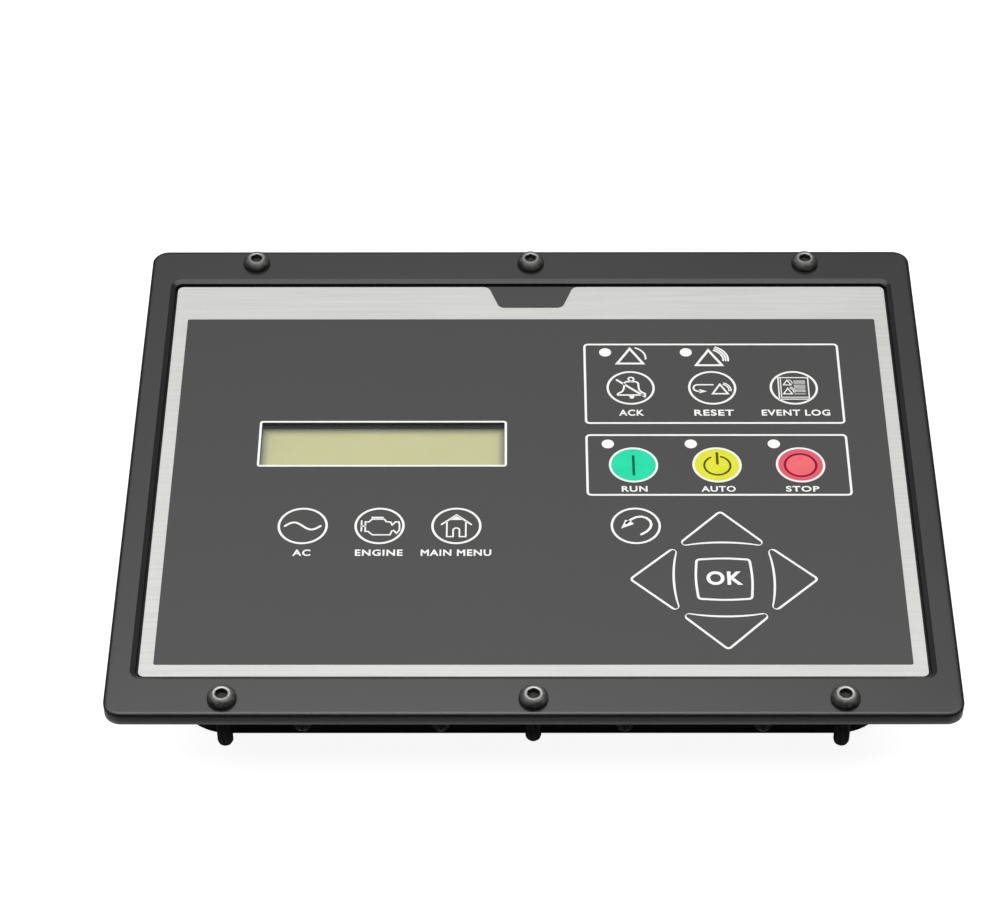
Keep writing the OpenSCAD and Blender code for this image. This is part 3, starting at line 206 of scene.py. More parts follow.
border = border_effect()
frame_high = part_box("bezel_frame")[1]
edge_width = 0.004
shaded_lip_width = 0.0025
side_round = 0.0034
face_round = 0.0016
coat_tree = frame_coat.node_tree
outer = place_effect(coat_tree, border, Centre=(0, 0, 0), Soft=0.001,
                     Half=(frame_high.x - edge_width, frame_high.y - edge_width, 0)).outputs["Mask"]
level = add(coat_tree, "NewGeometry").outputs["True Normal"]
level = add(coat_tree, "SeparateXYZ", {0: level}).outputs["Z"]
round_r = add(coat_tree, "MapRange",
              {"Value": level, "To Min": side_round, "To Max": face_round}).outputs[0]
round_r = add(coat_tree, "Math", {0: outer, 1: round_r}, operation="MULTIPLY").outputs[0]
rounded = add(coat_tree, "Bevel", {"Radius": round_r}, samples=8).outputs[0]
coat_relief = coat_tree.nodes["Principled BSDF"].inputs["Normal"].links[0].from_node
coat_tree.links.new(rounded, coat_relief.inputs["Normal"])
# Painted shade: the band round the outer edges and the side walls is darker, for the dark line
# where the rounded shoulder turns from the light.
shaded_lip = place_effect(coat_tree, border, Centre=(0, 0, 0), Soft=0.0015,
                   Half=(frame_high.x - shaded_lip_width, frame_high.y - shaded_lip_width, 0)).outputs["Mask"]
lay_over(frame_coat, shaded_lip, Base_Color=(0.003, 0.003, 0.003), Roughness=0.22)
dress(frame_coat, "bezel_frame")


# Panel screws
# Six button-head steel screws with hexagon sockets, blackened, which go through the frame, the
# foam and the panel. The key has rubbed the rim of each socket bright, and their ends are round.
# Their sockets, the foot of each dome, the head's edge and the threads are painted darker as shade.

def skin(rings, wrap=False):
    """A closed skin over rings of points (rows x columns x 3). Neighbours along and across are
    joined by quads, the columns wrap round, and the rows wrap too or end in flat caps. Where the
    volume, a sixth of the sum of each triangle's triple product, is negative, faces turn over."""
    rows, columns = rings.shape[:2]
    index = np.arange(rows * columns).reshape(rows, columns)
    near = index if wrap else index[:-1]
    far = np.roll(index, -1, 0)[:len(near)]
    quads = np.stack([near, np.roll(near, -1, 1), np.roll(far, -1, 1), far], -1).reshape(-1, 4)
    flats = [quads] if wrap else [quads, np.stack([index[0, ::-1], index[-1]])]
    points = rings.reshape(-1, 3)
    volume = 0.0
    for flat in flats:
        first = np.broadcast_to(flat[:, :1], flat[:, 2:].shape)
        fan = np.stack([first, flat[:, 1:-1], flat[:, 2:]], -1)
        corner = points[fan.reshape(-1, 3)]
        volume += np.einsum("ij,ij->", corner[:, 0], np.cross(corner[:, 1], corner[:, 2]))
    if volume < 0:
        flats = [flat[:, ::-1] for flat in flats]
    corners = np.concatenate([flat.ravel() for flat in flats])
    sizes = np.concatenate([np.full(len(flat), flat.shape[1]) for flat in flats])
    return points, corners, sizes


to_mm = 1000


def piece(name, skins, material):
    """Joins skins, given in millimetres, in one mesh in metres that rides on the body."""
    starts = np.cumsum([0] + [len(points) for points, _, _ in skins])
    points = np.concatenate([points for points, _, _ in skins]) / to_mm
    corners = np.concatenate([corners + start for (_, corners, _), start in zip(skins, starts)])
    sizes = np.concatenate([sizes for _, _, sizes in skins])
    mesh = bpy.data.meshes.new(name)
    mesh.vertices.add(len(points))
    mesh.vertices.foreach_set("co", points.ravel())
    mesh.loops.add(len(corners))
    mesh.loops.foreach_set("vertex_index", corners)
    mesh.polygons.add(len(sizes))
    mesh.polygons.foreach_set("loop_start", np.cumsum(sizes) - sizes)
    mesh.update(calc_edges=True)
    mesh.validate()
    mesh.shade_flat()
    mesh.materials.append(material)
    made = bpy.data.objects.new(name, mesh)
    bpy.context.scene.collection.objects.link(made)
    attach(made, "root")
    return made


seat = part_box("bezel_frame")[1].z * to_mm
screw_low, screw_high = (np.array(corner) * to_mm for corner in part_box("panel_screws"))
head_r = 5.4
head_high = screw_high[2] - seat
head_edge = 0.12
dome_foot = 0.55
drill_r = 0.15
drill_deep = 0.3
socket_half = 2.0
socket_deep = 2.1
mouth_deep = 0.4
mouth_r = 2.45
rim_r = 3.0
shank_r = 3.0
plain_end = 36.5
run_in = 0.15
thread_r = 2.95
thread_deep = 0.42
round_end = 2.4
middle_short = 2.5
pitch = 1.0
rows_a_turn = 8
around = 48
turn = np.linspace(0, 2 * math.pi, around, endpoint=False)
six = socket_half / np.cos((turn + math.pi / 6) % (math.pi / 3) - math.pi / 6)


def screw_rings(tip):
    """One screw as rings of radius, height and wear round its axis, from the socket's floor over
    the head and down to the tip's level. Wear above nought is the rim rubbed bright, dying away
    over the head; below nought it is painted shade, darkest in the socket, and dark near the
    foot of the dome, round the head's edge and along the thread.
    The socket is a regular hexagon: its radius is the half width over the cosine of the angle to
    the nearest flat. The head is a quarter ellipse. The thread's radius falls from its crest by a
    triangle wave of height over pitch plus the share of a turn, and the end is round."""
    whole = np.ones(around)
    rows = [(drill_r * whole, -socket_deep - drill_deep, -1.0),
            (six * 0.96, -socket_deep, -1.0),
            (six, -socket_deep + 0.1, -1.0),
            (six, -mouth_deep, -1.0),
            (np.maximum(six, 2.3), -0.12, 0.5),
            (mouth_r * whole, -0.02, 1.0),
            (rim_r * whole, 0.0, 0.9)]
    fall = np.linspace(0, math.pi / 2, 12)[1:]
    across = rim_r + (head_r - rim_r) * np.sin(fall)
    down = -(head_high - dome_foot) * (1 - np.cos(fall))
    rim_wear_and_foot_shade = 0.5 * np.exp(-fall * 4.5) - 0.8 * np.clip((fall - 1.2) / 0.3, 0, 1)
    rows += [(r * whole, z, w) for r, z, w in zip(across, down, rim_wear_and_foot_shade)]
    rows += [(head_r * whole, -head_high + head_edge, -0.8),
             ((head_r - head_edge) * whole, -head_high, -0.8),
             (shank_r * whole, -head_high, 0.0),
             (shank_r * whole, plain_end - seat - head_high, 0.0)]
    radius = np.array([row[0] for row in rows])
    height = np.array([row[1] for row in rows])[:, None] + seat + head_high + 0 * turn
    wear = np.array([row[2] for row in rows])[:, None] + 0 * turn
    count = int((plain_end - tip) / pitch * rows_a_turn)
    steps = np.linspace(plain_end - run_in, tip, count)[:, None] + 0 * turn
    wave = np.abs(2 * ((steps / pitch + turn / (2 * math.pi)) % 1) - 1)
    left = np.clip((steps - tip) / round_end, 0, 1)
    threaded = (thread_r - thread_deep * wave) * np.sqrt(np.clip(1 - (1 - left) ** 2, 0.004, 1))
    radius = np.concatenate([radius, threaded])
    height = np.concatenate([height, steps])
    wear = np.concatenate([wear, 0 * steps - 0.85])
    rings = np.stack([radius * np.cos(turn), radius * np.sin(turn), height], -1)
    return rings, wear


long_screw, long_wear_and_shade = screw_rings(screw_low[2])
short_screw, short_wear_and_shade = screw_rings(screw_low[2] + middle_short)
side_x = screw_high[0] - head_r
side_y = screw_high[1] - head_r
corners = np.array([(x, y, 0) for x in (-side_x, side_x) for y in (-side_y, side_y)])
middles = np.array([(0, -side_y, 0), (0, side_y, 0)])
screw_finish = finish("blackened_screw", dark=(0.005, 0.005, 0.005), light=(0.10, 0.098, 0.095),
                      cloud=0.0020, fine=0.0005, smooth=0.34, dull=0.6, relief=0.00010,
                      Metallic=0.35)
# The wear attribute holds both: above nought the rubbed rim, below nought painted shade.
wear_and_shade = add(screw_finish.node_tree, "Attribute", attribute_name="wear").outputs["Fac"]
bright = add(screw_finish.node_tree, "Math", {0: wear_and_shade, 1: 0.0}, operation="MAXIMUM").outputs[0]
# Painted shade: the socket, the dome's foot, the head's edge and the thread are darkened.
painted_screw_shade = add(screw_finish.node_tree, "MapRange",
            {"Value": wear_and_shade, "From Min": 0, "From Max": -1}).outputs[0]
lay_over(screw_finish, bright, Base_Color=(0.33, 0.325, 0.32), Roughness=0.34, Metallic=0.9)
lay_over(screw_finish, painted_screw_shade, Base_Color=(0.002, 0.002, 0.002), Roughness=0.6, Metallic=0.0)
screws = piece("button_head_screws", [skin(long_screw + spot) for spot in corners]
               + [skin(short_screw + spot) for spot in middles], screw_finish)
wear = np.concatenate([np.tile(long_wear_and_shade.ravel(), len(corners)),
                       np.tile(short_wear_and_shade.ravel(), len(middles))])
screws.data.attributes.new("wear", "FLOAT", "POINT").data.foreach_set("value", wear)
screws.data.shade_smooth()
screws.data.set_sharp_from_angle(angle=math.radians(42))
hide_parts("panel_screws")


# Foam gaskets
# A strip of black closed-cell foam between the frame and the panel, and a thinner one under the
# rear cover. Both are cut from sheet, so their cut sides show the cells.

def cell_effect():
    """The cut cells of foam: the distance to the nearest of scattered points, small in a cell."""
    tree, given, out = effect("cells", {"Size": "Float"}, {"Mask": "Float"})
    place = add(tree, "TexCoord").outputs["Object"]
    rate = add(tree, "Math", {0: 1.0, 1: given["Size"]}, operation="DIVIDE").outputs[0]
    cells = add(tree, "TexVoronoi", {"Vector": place, "Scale": rate}).outputs["Distance"]
    open_cell = add(tree, "MapRange",
                    {"Value": cells, "From Min": 0.15, "From Max": 0.6}).outputs[0]
    tree.links.new(open_cell, out["Mask"])
    return tree


foam_cells = cell_effect()
foam = finish("black_foam", dark=(0.016, 0.016, 0.016), light=(0.032, 0.032, 0.032),
              cloud=0.012, fine=0.0007, smooth=0.85, dull=0.96, relief=0.00012,
              Specular_IOR_Level=0.2)
cut_cells = place_effect(foam.node_tree, foam_cells, Size=0.0006)
lay_over(foam, cut_cells.outputs["Mask"], Base_Color=(0.045, 0.045, 0.045))
dress(foam, "panel_gasket", "cover_gasket")


# Front housing
# The deep tray that carries everything behind the keypad: glass-filled nylon, moulded in one
# with its ribs, bosses and window ledge. Its face is spark-eroded, with faint flow marks.

def streak_effect():
    """Fine lines along one axis, as brushing or moulding leaves: noise on coordinates divided by
    a length on the first axis and a width on the others."""
    tree, given, out = effect("streaks", {"Length": "Float", "Width": "Float"}, {"Mask": "Float"})
    place = add(tree, "TexCoord").outputs["Object"]
    sizes = add(tree, "CombineXYZ",
                {"X": given["Length"], "Y": given["Width"], "Z": given["Width"]}).outputs[0]
    drawn = add(tree, "VectorMath", {0: place, 1: sizes}, operation="DIVIDE").outputs[0]
    lines = add(tree, "TexNoise", {"Vector": drawn, "Scale": 1.0, "Detail": 3.0}).outputs[0]
    lines = add(tree, "MapRange", {"Value": lines, "From Min": 0.38, "From Max": 0.66}).outputs[0]
    tree.links.new(lines, out["Mask"])
    return tree


streaks = streak_effect()
nylon = finish("black_nylon", dark=(0.013, 0.013, 0.0132), light=(0.021, 0.021, 0.0214),
               cloud=0.03, fine=0.0008, smooth=0.55, dull=0.72, relief=0.00004,
               Specular_IOR_Level=0.35)
flow = place_effect(nylon.node_tree, streaks, Length=0.06, Width=0.005)
lay_over(nylon, flow.outputs["Mask"], Base_Color=(0.024, 0.024, 0.0243))
dress(nylon, "front_housing")


# Inner screws
# Zinc-plated steel screws that hold the frame's flange, the display and the boards, and blackened
# ones in the rear cover's sides, whose heads carry a painted highlight below, standing for the
# pale floor they mirror. All show fine drawn lines.

zinc = finish("zinc_plate", dark=(0.42, 0.425, 0.43), light=(0.62, 0.62, 0.61),
              cloud=0.004, fine=0.0004, smooth=0.24, dull=0.42, relief=0.00001, Metallic=1.0)
turned = place_effect(zinc.node_tree, streaks, Length=0.004, Width=0.0003)
lay_over(zinc, turned.outputs["Mask"], Roughness=0.46)
dress(zinc, "flange_screws", "lcd_screws", "board_screws")

black_oxide = finish("black_oxide", dark=(0.20, 0.20, 0.197), light=(0.32, 0.32, 0.315),
                     cloud=0.003, fine=0.0004, smooth=0.34, dull=0.46, relief=0.00001, Metallic=0.8)
oxide_lines = place_effect(black_oxide.node_tree, streaks, Length=0.004, Width=0.0003)
lay_over(black_oxide, oxide_lines.outputs["Mask"], Roughness=0.4)
# Painted highlight: the down-facing rim of each cover screw's head is near white and metallic,
# standing for the floor's reflection.
under = add(black_oxide.node_tree, "NewGeometry").outputs["True Normal"]
under = add(black_oxide.node_tree, "SeparateXYZ", {0: under}).outputs["Z"]
under = add(black_oxide.node_tree, "MapRange",
            {"Value": under, "From Min": -0.22, "From Max": -0.36}).outputs[0]
lay_over(black_oxide, under, Base_Color=(0.95, 0.95, 0.94), Roughness=0.8, Metallic=1.0)
dress(black_oxide, "cover_screws")


# Keypad film
# One polyester film, printed from behind with silver ink and bonded over the whole face. The
# ink lies in long faint streaks, the film's outer side has a fine velvet texture, and its cut
# sides are painted dark as the shade in the gap round the film.

silver = finish("silver_film", dark=(0.49, 0.49, 0.475), light=(0.54, 0.54, 0.525),
                cloud=0.05, fine=0.0008, smooth=0.36, dull=0.46, relief=0.000008, Metallic=0.1)
drawn_ink = place_effect(silver.node_tree, streaks, Length=0.05, Width=0.0012)
lay_over(silver, drawn_ink.outputs["Mask"], Base_Color=(0.56, 0.56, 0.545), Roughness=0.32)
# Painted shade: the film's cut sides are near black, as they lie in the dark gap under the frame's
# edge.
shaded_cut_side = add(silver.node_tree, "NewGeometry").outputs["True Normal"]
shaded_cut_side = add(silver.node_tree, "SeparateXYZ", {0: shaded_cut_side}).outputs["Z"]
shaded_cut_side = add(silver.node_tree, "Math", {0: shaded_cut_side}, operation="ABSOLUTE").outputs[0]
shaded_cut_side = add(silver.node_tree, "MapRange",
               {"Value": shaded_cut_side, "From Min": 0.9, "From Max": 0.5}).outputs[0]
lay_over(silver, shaded_cut_side, Base_Color=(0.02, 0.02, 0.02), Metallic=0.0)
dress(silver, "keypad_film")

field_ink = finish("dark_field_ink", dark=(0.038, 0.038, 0.0375), light=(0.043, 0.043, 0.0425),
                   cloud=0.06, fine=0.0010, smooth=0.46, dull=0.56, relief=0.00001,
                   Specular_IOR_Level=0.42)
dress(field_ink, "field_print")


# Printed lines and lamps
# White screen-print on the dark field: the two group boxes, the window's outline, the key rings,
# the arrows and the five lamp windows. The ink is a little chalky.

white_ink = finish("white_ink", dark=(0.77, 0.77, 0.76), light=(0.84, 0.84, 0.83),
                   cloud=0.01, fine=0.0006, smooth=0.45, dull=0.6, relief=0.00001,
                   Specular_IOR_Level=0.2)
dress(white_ink, "line_print")


# Key colours
# Three solid discs of coloured ink under the white rings: green to run, yellow for automatic and
# red to stop. Each is laid in one coat, so the colour clouds a little; the red is deeper outside.

for disc, dark, light in (
        ("run_key_print", (0.009, 0.57, 0.305), (0.018, 0.64, 0.355)),
        ("auto_key_print", (0.61, 0.62, 0.022), (0.67, 0.68, 0.048)),
        ("stop_key_print", (0.70, 0.110, 0.128), (0.77, 0.140, 0.160))):
    ink = finish(disc.replace("print", "ink"), dark, light,
                 cloud=0.006, fine=0.0007, smooth=0.45, dull=0.6, relief=0.00001,
                 Specular_IOR_Level=0.15)
    dress(ink, disc)

low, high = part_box("stop_key_print")
red_middle = ((low.x + high.x) / 2, (low.y + high.y) / 2, high.z)
red_place = add(ink.node_tree, "TexCoord").outputs["Object"]
out_from = add(ink.node_tree, "VectorMath", {0: red_place, 1: red_middle},
               operation="DISTANCE").outputs["Value"]
deeper = add(ink.node_tree, "MapRange",
             {"Value": out_from, "From Min": 0.0058, "From Max": 0.0064}).outputs[0]
lay_over(ink, deeper, Base_Color=(0.66, 0.092, 0.130))


# Words on the keys
# Plain function words under the keys, printed with the same white ink in a wide bold face. They
# stand a tenth of a millimetre on the dark field.

ink_low, ink_high = (corner.z * to_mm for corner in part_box("line_print"))
run_x, auto_x, stop_x = (sum(corner.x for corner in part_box(name)) / 2 * to_mm
                         for name in ("run_key_print", "auto_key_print", "stop_key_print"))
mode_y = sum(corner.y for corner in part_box("run_key_print")) / 2 * to_mm
row_rise = 43.0
alarm_y = mode_y + row_rise
menu_y = -29.8
ac_x, engine_x, home_x = -87.25, -58.05, -28.85


def words(text, x, y, width, height, weight=0.026):
    """A word as closed solids. Blender's own face is outlined, thickened by the weight and
    extruded; then each axis is stretched in a straight line from the outline's extent to the
    width, height and ink levels given, about x and y."""
    curve = bpy.data.curves.new(text, "FONT")
    curve.body = text
    curve.extrude = 0.5
    curve.bevel_depth = weight
    curve.bevel_resolution = 0
    curve.resolution_u = 5
    curve.space_character = 1.12
    curve.space_word = 0.9
    holder = bpy.data.objects.new(text, curve)
    mesh = bpy.data.meshes.new_from_object(holder)
    bpy.data.objects.remove(holder)
    points = np.empty(len(mesh.vertices) * 3)
    mesh.vertices.foreach_get("co", points)
    points = points.reshape(-1, 3)
    low, high = points.min(0), points.max(0)
    size = np.array([width, height, ink_high - ink_low])
    centre = np.array([x, y, (ink_low + ink_high) / 2])
    points = (points - (low + high) / 2) / (high - low) * size + centre
    corners = np.empty(len(mesh.loops), int)
    mesh.loops.foreach_get("vertex_index", corners)
    sizes = np.empty(len(mesh.polygons), int)
    mesh.polygons.foreach_get("loop_total", sizes)
    return points, corners, sizes


alarm_drop, alarm_tall = 14.1, 3.4
mode_drop, mode_tall = 13.0, 3.05
menu_drop, menu_tall = 14.0, 3.3
ok_y, ok_tall, ok_weight = -56.9, 6.95, 0.03
lettering = [
    words("ACK", run_x, alarm_y - alarm_drop, 9.8, alarm_tall),
    words("RESET", auto_x + 0.1, alarm_y - alarm_drop, 15.5, alarm_tall),
    words("EVENT LOG", stop_x, alarm_y - alarm_drop, 26.9, alarm_tall),
    words("RUN", run_x + 0.1, mode_y - mode_drop, 9.9, mode_tall),
    words("AUTO", auto_x, mode_y - mode_drop, 13.2, mode_tall),
    words("STOP", stop_x, mode_y - mode_drop, 12.8, mode_tall),
    words("AC", ac_x + 0.1, menu_y - menu_drop, 6.8, menu_tall),
    words("ENGINE", engine_x + 0.1, menu_y - menu_drop, 18.0, menu_tall),
    words("MAIN MENU", home_x, menu_y - menu_drop, 26.6, menu_tall),
    words("OK", auto_x + 0.2, ok_y, 13.6, ok_tall, ok_weight),
]
letters = piece("key_words", lettering, white_ink)
cleaned = bmesh.new()
cleaned.from_mesh(letters.data)
bmesh.ops.remove_doubles(cleaned, verts=cleaned.verts, dist=1e-6)
bmesh.ops.recalc_face_normals(cleaned, faces=cleaned.faces)
cleaned.to_mesh(letters.data)
cleaned.free()


# Alarm symbols
# White outline symbols on and above the alarm keys: two warning triangles with sound arcs, a
# struck-out bell, a reset arrow and a page of events. All are printed in one pass.

def ribbon(path, width, low=ink_low, high=ink_high, closed=False):
    """A strip of ink along a path of points. At each point both sides lie half a width out along
    the mean of the two neighbouring normals, further by one over the cosine of half the turn, up
    to two and a half times. Open ends are rounded by steps whose reach grows as the sine while
    the width falls as the cosine."""
    path = np.asarray(path, float)
    step = np.roll(path, -1, 0) - path if closed else np.diff(path, axis=0)
    step = step / np.linalg.norm(step, axis=1)[:, None]
    normal = np.stack([-step[:, 1], step[:, 0]], -1)
    before = np.roll(normal, 1, 0) if closed else np.concatenate([normal[:1], normal])
    after = normal if closed else np.concatenate([normal, normal[-1:]])
    out = before + after
    out = out / np.linalg.norm(out, axis=1)[:, None]
    out = out / np.clip((out * after).sum(1), 0.4, 1)[:, None] * width / 2
    if not closed:
        swing = np.radians([20, 40, 60, 78])[:, None]
        head = path[0] - step[0] * np.sin(swing) * width / 2
        tail = path[-1] + step[-1] * np.sin(swing) * width / 2
        path = np.concatenate([head[::-1], path, tail])
        out = np.concatenate([out[0] * np.cos(swing)[::-1], out, out[-1] * np.cos(swing)])
    left, right = path + out, path - out
    level = np.ones(len(path))
    rings = np.stack([np.column_stack([side, level * z]) for side, z in
                      ((left, low), (right, low), (right, high), (left, high))], 1)
    return skin(rings, wrap=closed)


def plate(outline):
    """A flat patch of ink: its outline at the ink's low and high level, closed by two caps."""
    outline = np.asarray(outline, float)
    level = np.ones(len(outline))
    return skin(np.stack([np.column_stack([outline, level * z]) for z in (ink_low, ink_high)]))


def arc(x, y, radius, start, end, count=20):
    """Points on a circle from one angle to the other, in degrees from the right, turning left."""
    angle = np.radians(np.linspace(start, end, count))
    return np.column_stack([x + radius * np.cos(angle), y + radius * np.sin(angle)])


def warning(x, y, half, tall, line, arcs):
    """A warning triangle of outer half width and height about x, with y on its base, and sound
    arcs of a thinner line round its middle. The line lies inside: its base is half a line up, and
    its apex is half a line over the sine of half the apex angle down."""
    lean = math.atan2(half, tall)
    base = y + line / 2
    top = y + tall - line / 2 / math.sin(lean)
    side = (top - base) * math.tan(lean)
    middle = y + tall * 0.37
    thinner = line * 0.72
    return [ribbon([(x - side, base), (x + side, base), (x, top)], line, closed=True)] + [
        ribbon(arc(x, middle, radius, 68, -5), thinner) for radius in arcs]


def at(x, y, points):
    """Moves points, given about a key's centre, to the key."""
    return np.asarray(points, float) + (x, y)


bell_side = np.array([(2.87, 0.6), (3.0, -0.6), (3.35, -1.6), (4.0, -2.4), (4.85, -3.0),
                      (5.4, -3.4), (5.4, -4.1)])
bell_right = np.concatenate([arc(1.35, 2.05, 1.5, 90, 0, 9), bell_side])
bell = np.concatenate([bell_right, bell_right[::-1] * (-1, 1)])
bell_loop = arc(0, 4.95, 1.05, 0, 345, 24)
clapper = [(-1.2, -4.4), (-0.55, -6.1), (0.55, -6.1), (1.2, -4.4)]
strike = [(-5.4, 4.5), (5.5, -5.0)]
turn_back = np.concatenate([[(0.3, 1.75)], arc(-5.6, -0.1, 1.85, 90, 270, 12), [(-5.0, -1.95)]])
turn_head = [(-5.2, -3.1), (-5.2, -0.8), (-2.2, -1.95)]
page = [(-6.0, -6.5), (5.8, -6.5), (5.8, 5.8), (-6.0, 5.8)]
page_margin = [(-5.1, 5.1), (-5.1, -5.4), (5.4, -5.4)]
page_rows = (3.9, 3.25, 2.6, 1.5, 0.75, 0.0, -0.75, -1.5, -2.25, -3.5)
alarm = (
    warning(run_x + 0.15, 59.3, 6.05, 10.1, 1.0, (6.25,))
    + warning(auto_x - 0.7, 58.3, 6.05, 10.2, 1.0, (5.75, 6.75, 7.75))
    + [ribbon(at(run_x + 0.25, alarm_y, bell), 0.75, closed=True),
       ribbon(at(run_x + 0.25, alarm_y, bell_loop), 0.7, closed=True),
       plate(at(run_x + 0.35, alarm_y, clapper)),
       ribbon(at(run_x, alarm_y, strike), 0.9)]
    + [ribbon(at(auto_x, alarm_y, turn_back), 0.7),
       plate(at(auto_x, alarm_y, turn_head))]
    + warning(auto_x + 3.05, alarm_y - 3.75, 3.65, 6.5, 0.75, (3.5, 4.35))
    + [ribbon(at(stop_x, alarm_y, page), 0.5, closed=True),
       ribbon(at(stop_x, alarm_y, page_margin), 0.4)]
    + warning(stop_x - 2.5, alarm_y + 1.4, 1.95, 3.4, 0.45, (2.0,))
    + warning(stop_x - 2.5, alarm_y - 3.75, 2.15, 3.9, 0.5, (2.25, 2.95))
    + [ribbon(at(stop_x, alarm_y, [(0.15, y), (4.5, y)]), 0.27) for y in page_rows]
)
piece("alarm_symbols", alarm, white_ink)


# Mode symbols
# Dark outline symbols over the coloured discs: a bar to run, a ring with a bar for automatic and
# a plain ring to stop. They are printed last, so they stand on the coloured ink.

disc_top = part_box("run_key_print")[1].z * to_mm
mark_thick = 0.04
mark_top = disc_top + mark_thick


def dark_ink(name, dark, light):
    """Thin dark ink, with a little of the colour under it."""
    return finish(name, dark, light,
                  cloud=0.004, fine=0.0005, smooth=0.45, dull=0.6, relief=0.00001,
                  Specular_IOR_Level=0.1)


run_bar = ribbon([(run_x, mode_y - 5.3), (run_x, mode_y + 4.75)], 1.0, disc_top, mark_top)
piece("run_symbol", [run_bar],
      dark_ink("dark_green_ink", (0.002, 0.075, 0.042), (0.004, 0.105, 0.062)))
auto_ring = ribbon(arc(auto_x + 0.1, mode_y - 0.4, 5.05, 119, 432, 56), 0.85, disc_top, mark_top)
auto_bar = ribbon([(auto_x + 0.2, mode_y + 0.6), (auto_x + 0.2, mode_y + 6.4)], 1.05,
                  disc_top, mark_top)
piece("auto_symbol", [auto_ring, auto_bar],
      dark_ink("dark_olive_ink", (0.065, 0.058, 0.001), (0.10, 0.09, 0.003)))
stop_ring = ribbon(arc(stop_x, mode_y - 0.2, 6.05, 0, 355, 72), 0.95, disc_top, mark_top,
                   closed=True)
piece("stop_symbol", [stop_ring],
      dark_ink("dark_red_ink", (0.20, 0.003, 0.018), (0.27, 0.006, 0.028)))


# Menu symbols
# White outline symbols on the keys under the window: one period of a sine, an engine and a house,
# and the curved arrow of the back key.

sweep = np.linspace(-1, 1, 41)
sine = np.column_stack([6.75 * sweep, -1.85 * np.sin(math.pi * sweep)])
block = [(-5.4, -2.9), (-5.4, 2.1), (-4.1, 2.1), (-2.9, 3.5), (1.8, 3.5), (2.5, 2.2),
         (4.2, 2.0), (4.8, 0.5), (6.1, 2.1), (7.3, 2.1), (7.6, 0.6), (7.6, -2.2),
         (6.5, -3.9), (5.4, -2.4), (4.7, -2.7), (4.1, -4.7), (-2.6, -4.7), (-4.3, -2.9)]
house = np.concatenate([[(-3.6, 2.1), (-3.6, -5.65), (-1.2, -5.65), (-1.2, -2.3)],
                        arc(0, -2.3, 1.2, 165, 15, 9),
                        [(1.2, -2.3), (1.2, -5.65), (3.6, -5.65), (3.6, 2.1)]])
fine_line = 0.62
menu = [
    ribbon(at(ac_x, menu_y - 0.05, sine), 0.9),
    ribbon(at(engine_x, menu_y, block), fine_line, closed=True),
    plate(at(engine_x, menu_y, [(-3.0, 3.6), (1.7, 3.6), (1.3, 4.75), (-3.3, 4.75)])),
    ribbon(at(engine_x, menu_y, [(-6.85, 2.6), (-6.85, -2.7)]), fine_line),
    ribbon(at(engine_x, menu_y, [(-6.8, -0.1), (-5.4, -0.1)]), fine_line),
    ribbon(at(home_x, menu_y, house), fine_line),
    ribbon(at(home_x, menu_y, [(-5.6, 0.75), (0, 5.75), (5.6, 0.75)]), 0.75),
    plate(at(home_x, menu_y, [(-2.6, 3.1), (2.6, 3.1), (0, 5.6)])),
]
piece("menu_symbols", menu, white_ink)

back_path = [(2.0, -4.5), (4.0, -3.1), (5.4, -1.3), (5.95, 0.6), (5.5, 2.6), (4.2, 4.1),
             (2.3, 4.85), (0.4, 4.6), (-1.2, 3.7), (-2.6, 2.5), (-3.6, 1.3)]
back_head = [(-5.6, -1.4), (-0.7, 0.9), (-1.9, 2.6), (-3.9, 3.1)]
back_arrow = [ribbon(at(run_x, menu_y, back_path), 0.95),
              plate(at(run_x, menu_y, back_head))]
piece("back_symbol", back_arrow, white_ink)


# Keypad layers
# Under the film: a black die-cut spacer, the steel snap domes that give the keys their click, and
# the printed circuit layer with its flexible tail.

layer = finish("spacer_film", dark=(0.014, 0.014, 0.014), light=(0.022, 0.022, 0.022),
               cloud=0.02, fine=0.0008, smooth=0.6, dull=0.75, relief=0.00002)
dress(layer, "keypad_spacer")

dome_steel = finish("dome_steel", dark=(0.46, 0.46, 0.45), light=(0.60, 0.60, 0.59),
                    cloud=0.003, fine=0.0004, smooth=0.22, dull=0.36, relief=0.000008, Metallic=1.0)
rolled = place_effect(dome_steel.node_tree, streaks, Length=0.012, Width=0.0002)
lay_over(dome_steel, rolled.outputs["Mask"], Roughness=0.4)
dress(dome_steel, "snap_domes")


def track_effect():
    """Conductors in rows: a brick pattern of the given pitch, whose joints are the gaps."""
    tree, given, out = effect("tracks", {"Pitch": "Float", "Length": "Float"}, {"Mask": "Float"})
    place = add(tree, "TexCoord").outputs["Object"]
    bricks = add(tree, "TexBrick",
                 {"Vector": place, "Scale": 1.0, "Mortar Smooth": 0.1, "Mortar Size": 0.0002,
                  "Row Height": given["Pitch"], "Brick Width": given["Length"]})
    tree.links.new(bricks.outputs["Fac"], out["Mask"])
    return tree


tracks = track_effect()
circuit = finish("circuit_film", dark=(0.065, 0.095, 0.075), light=(0.085, 0.12, 0.095),
                 cloud=0.02, fine=0.0008, smooth=0.35, dull=0.5, relief=0.00001)
silver_tracks = place_effect(circuit.node_tree, tracks, Pitch=0.0016, Length=0.03)
lay_over(circuit, silver_tracks.outputs["Mask"], Base_Color=(0.4, 0.4, 0.38), Roughness=0.3)
dress(circuit, "keypad_circuit")


# Window pane
# A clear acrylic pane bonded behind the window in the film. It has the faint hazy wipe marks
# that such a pane collects.

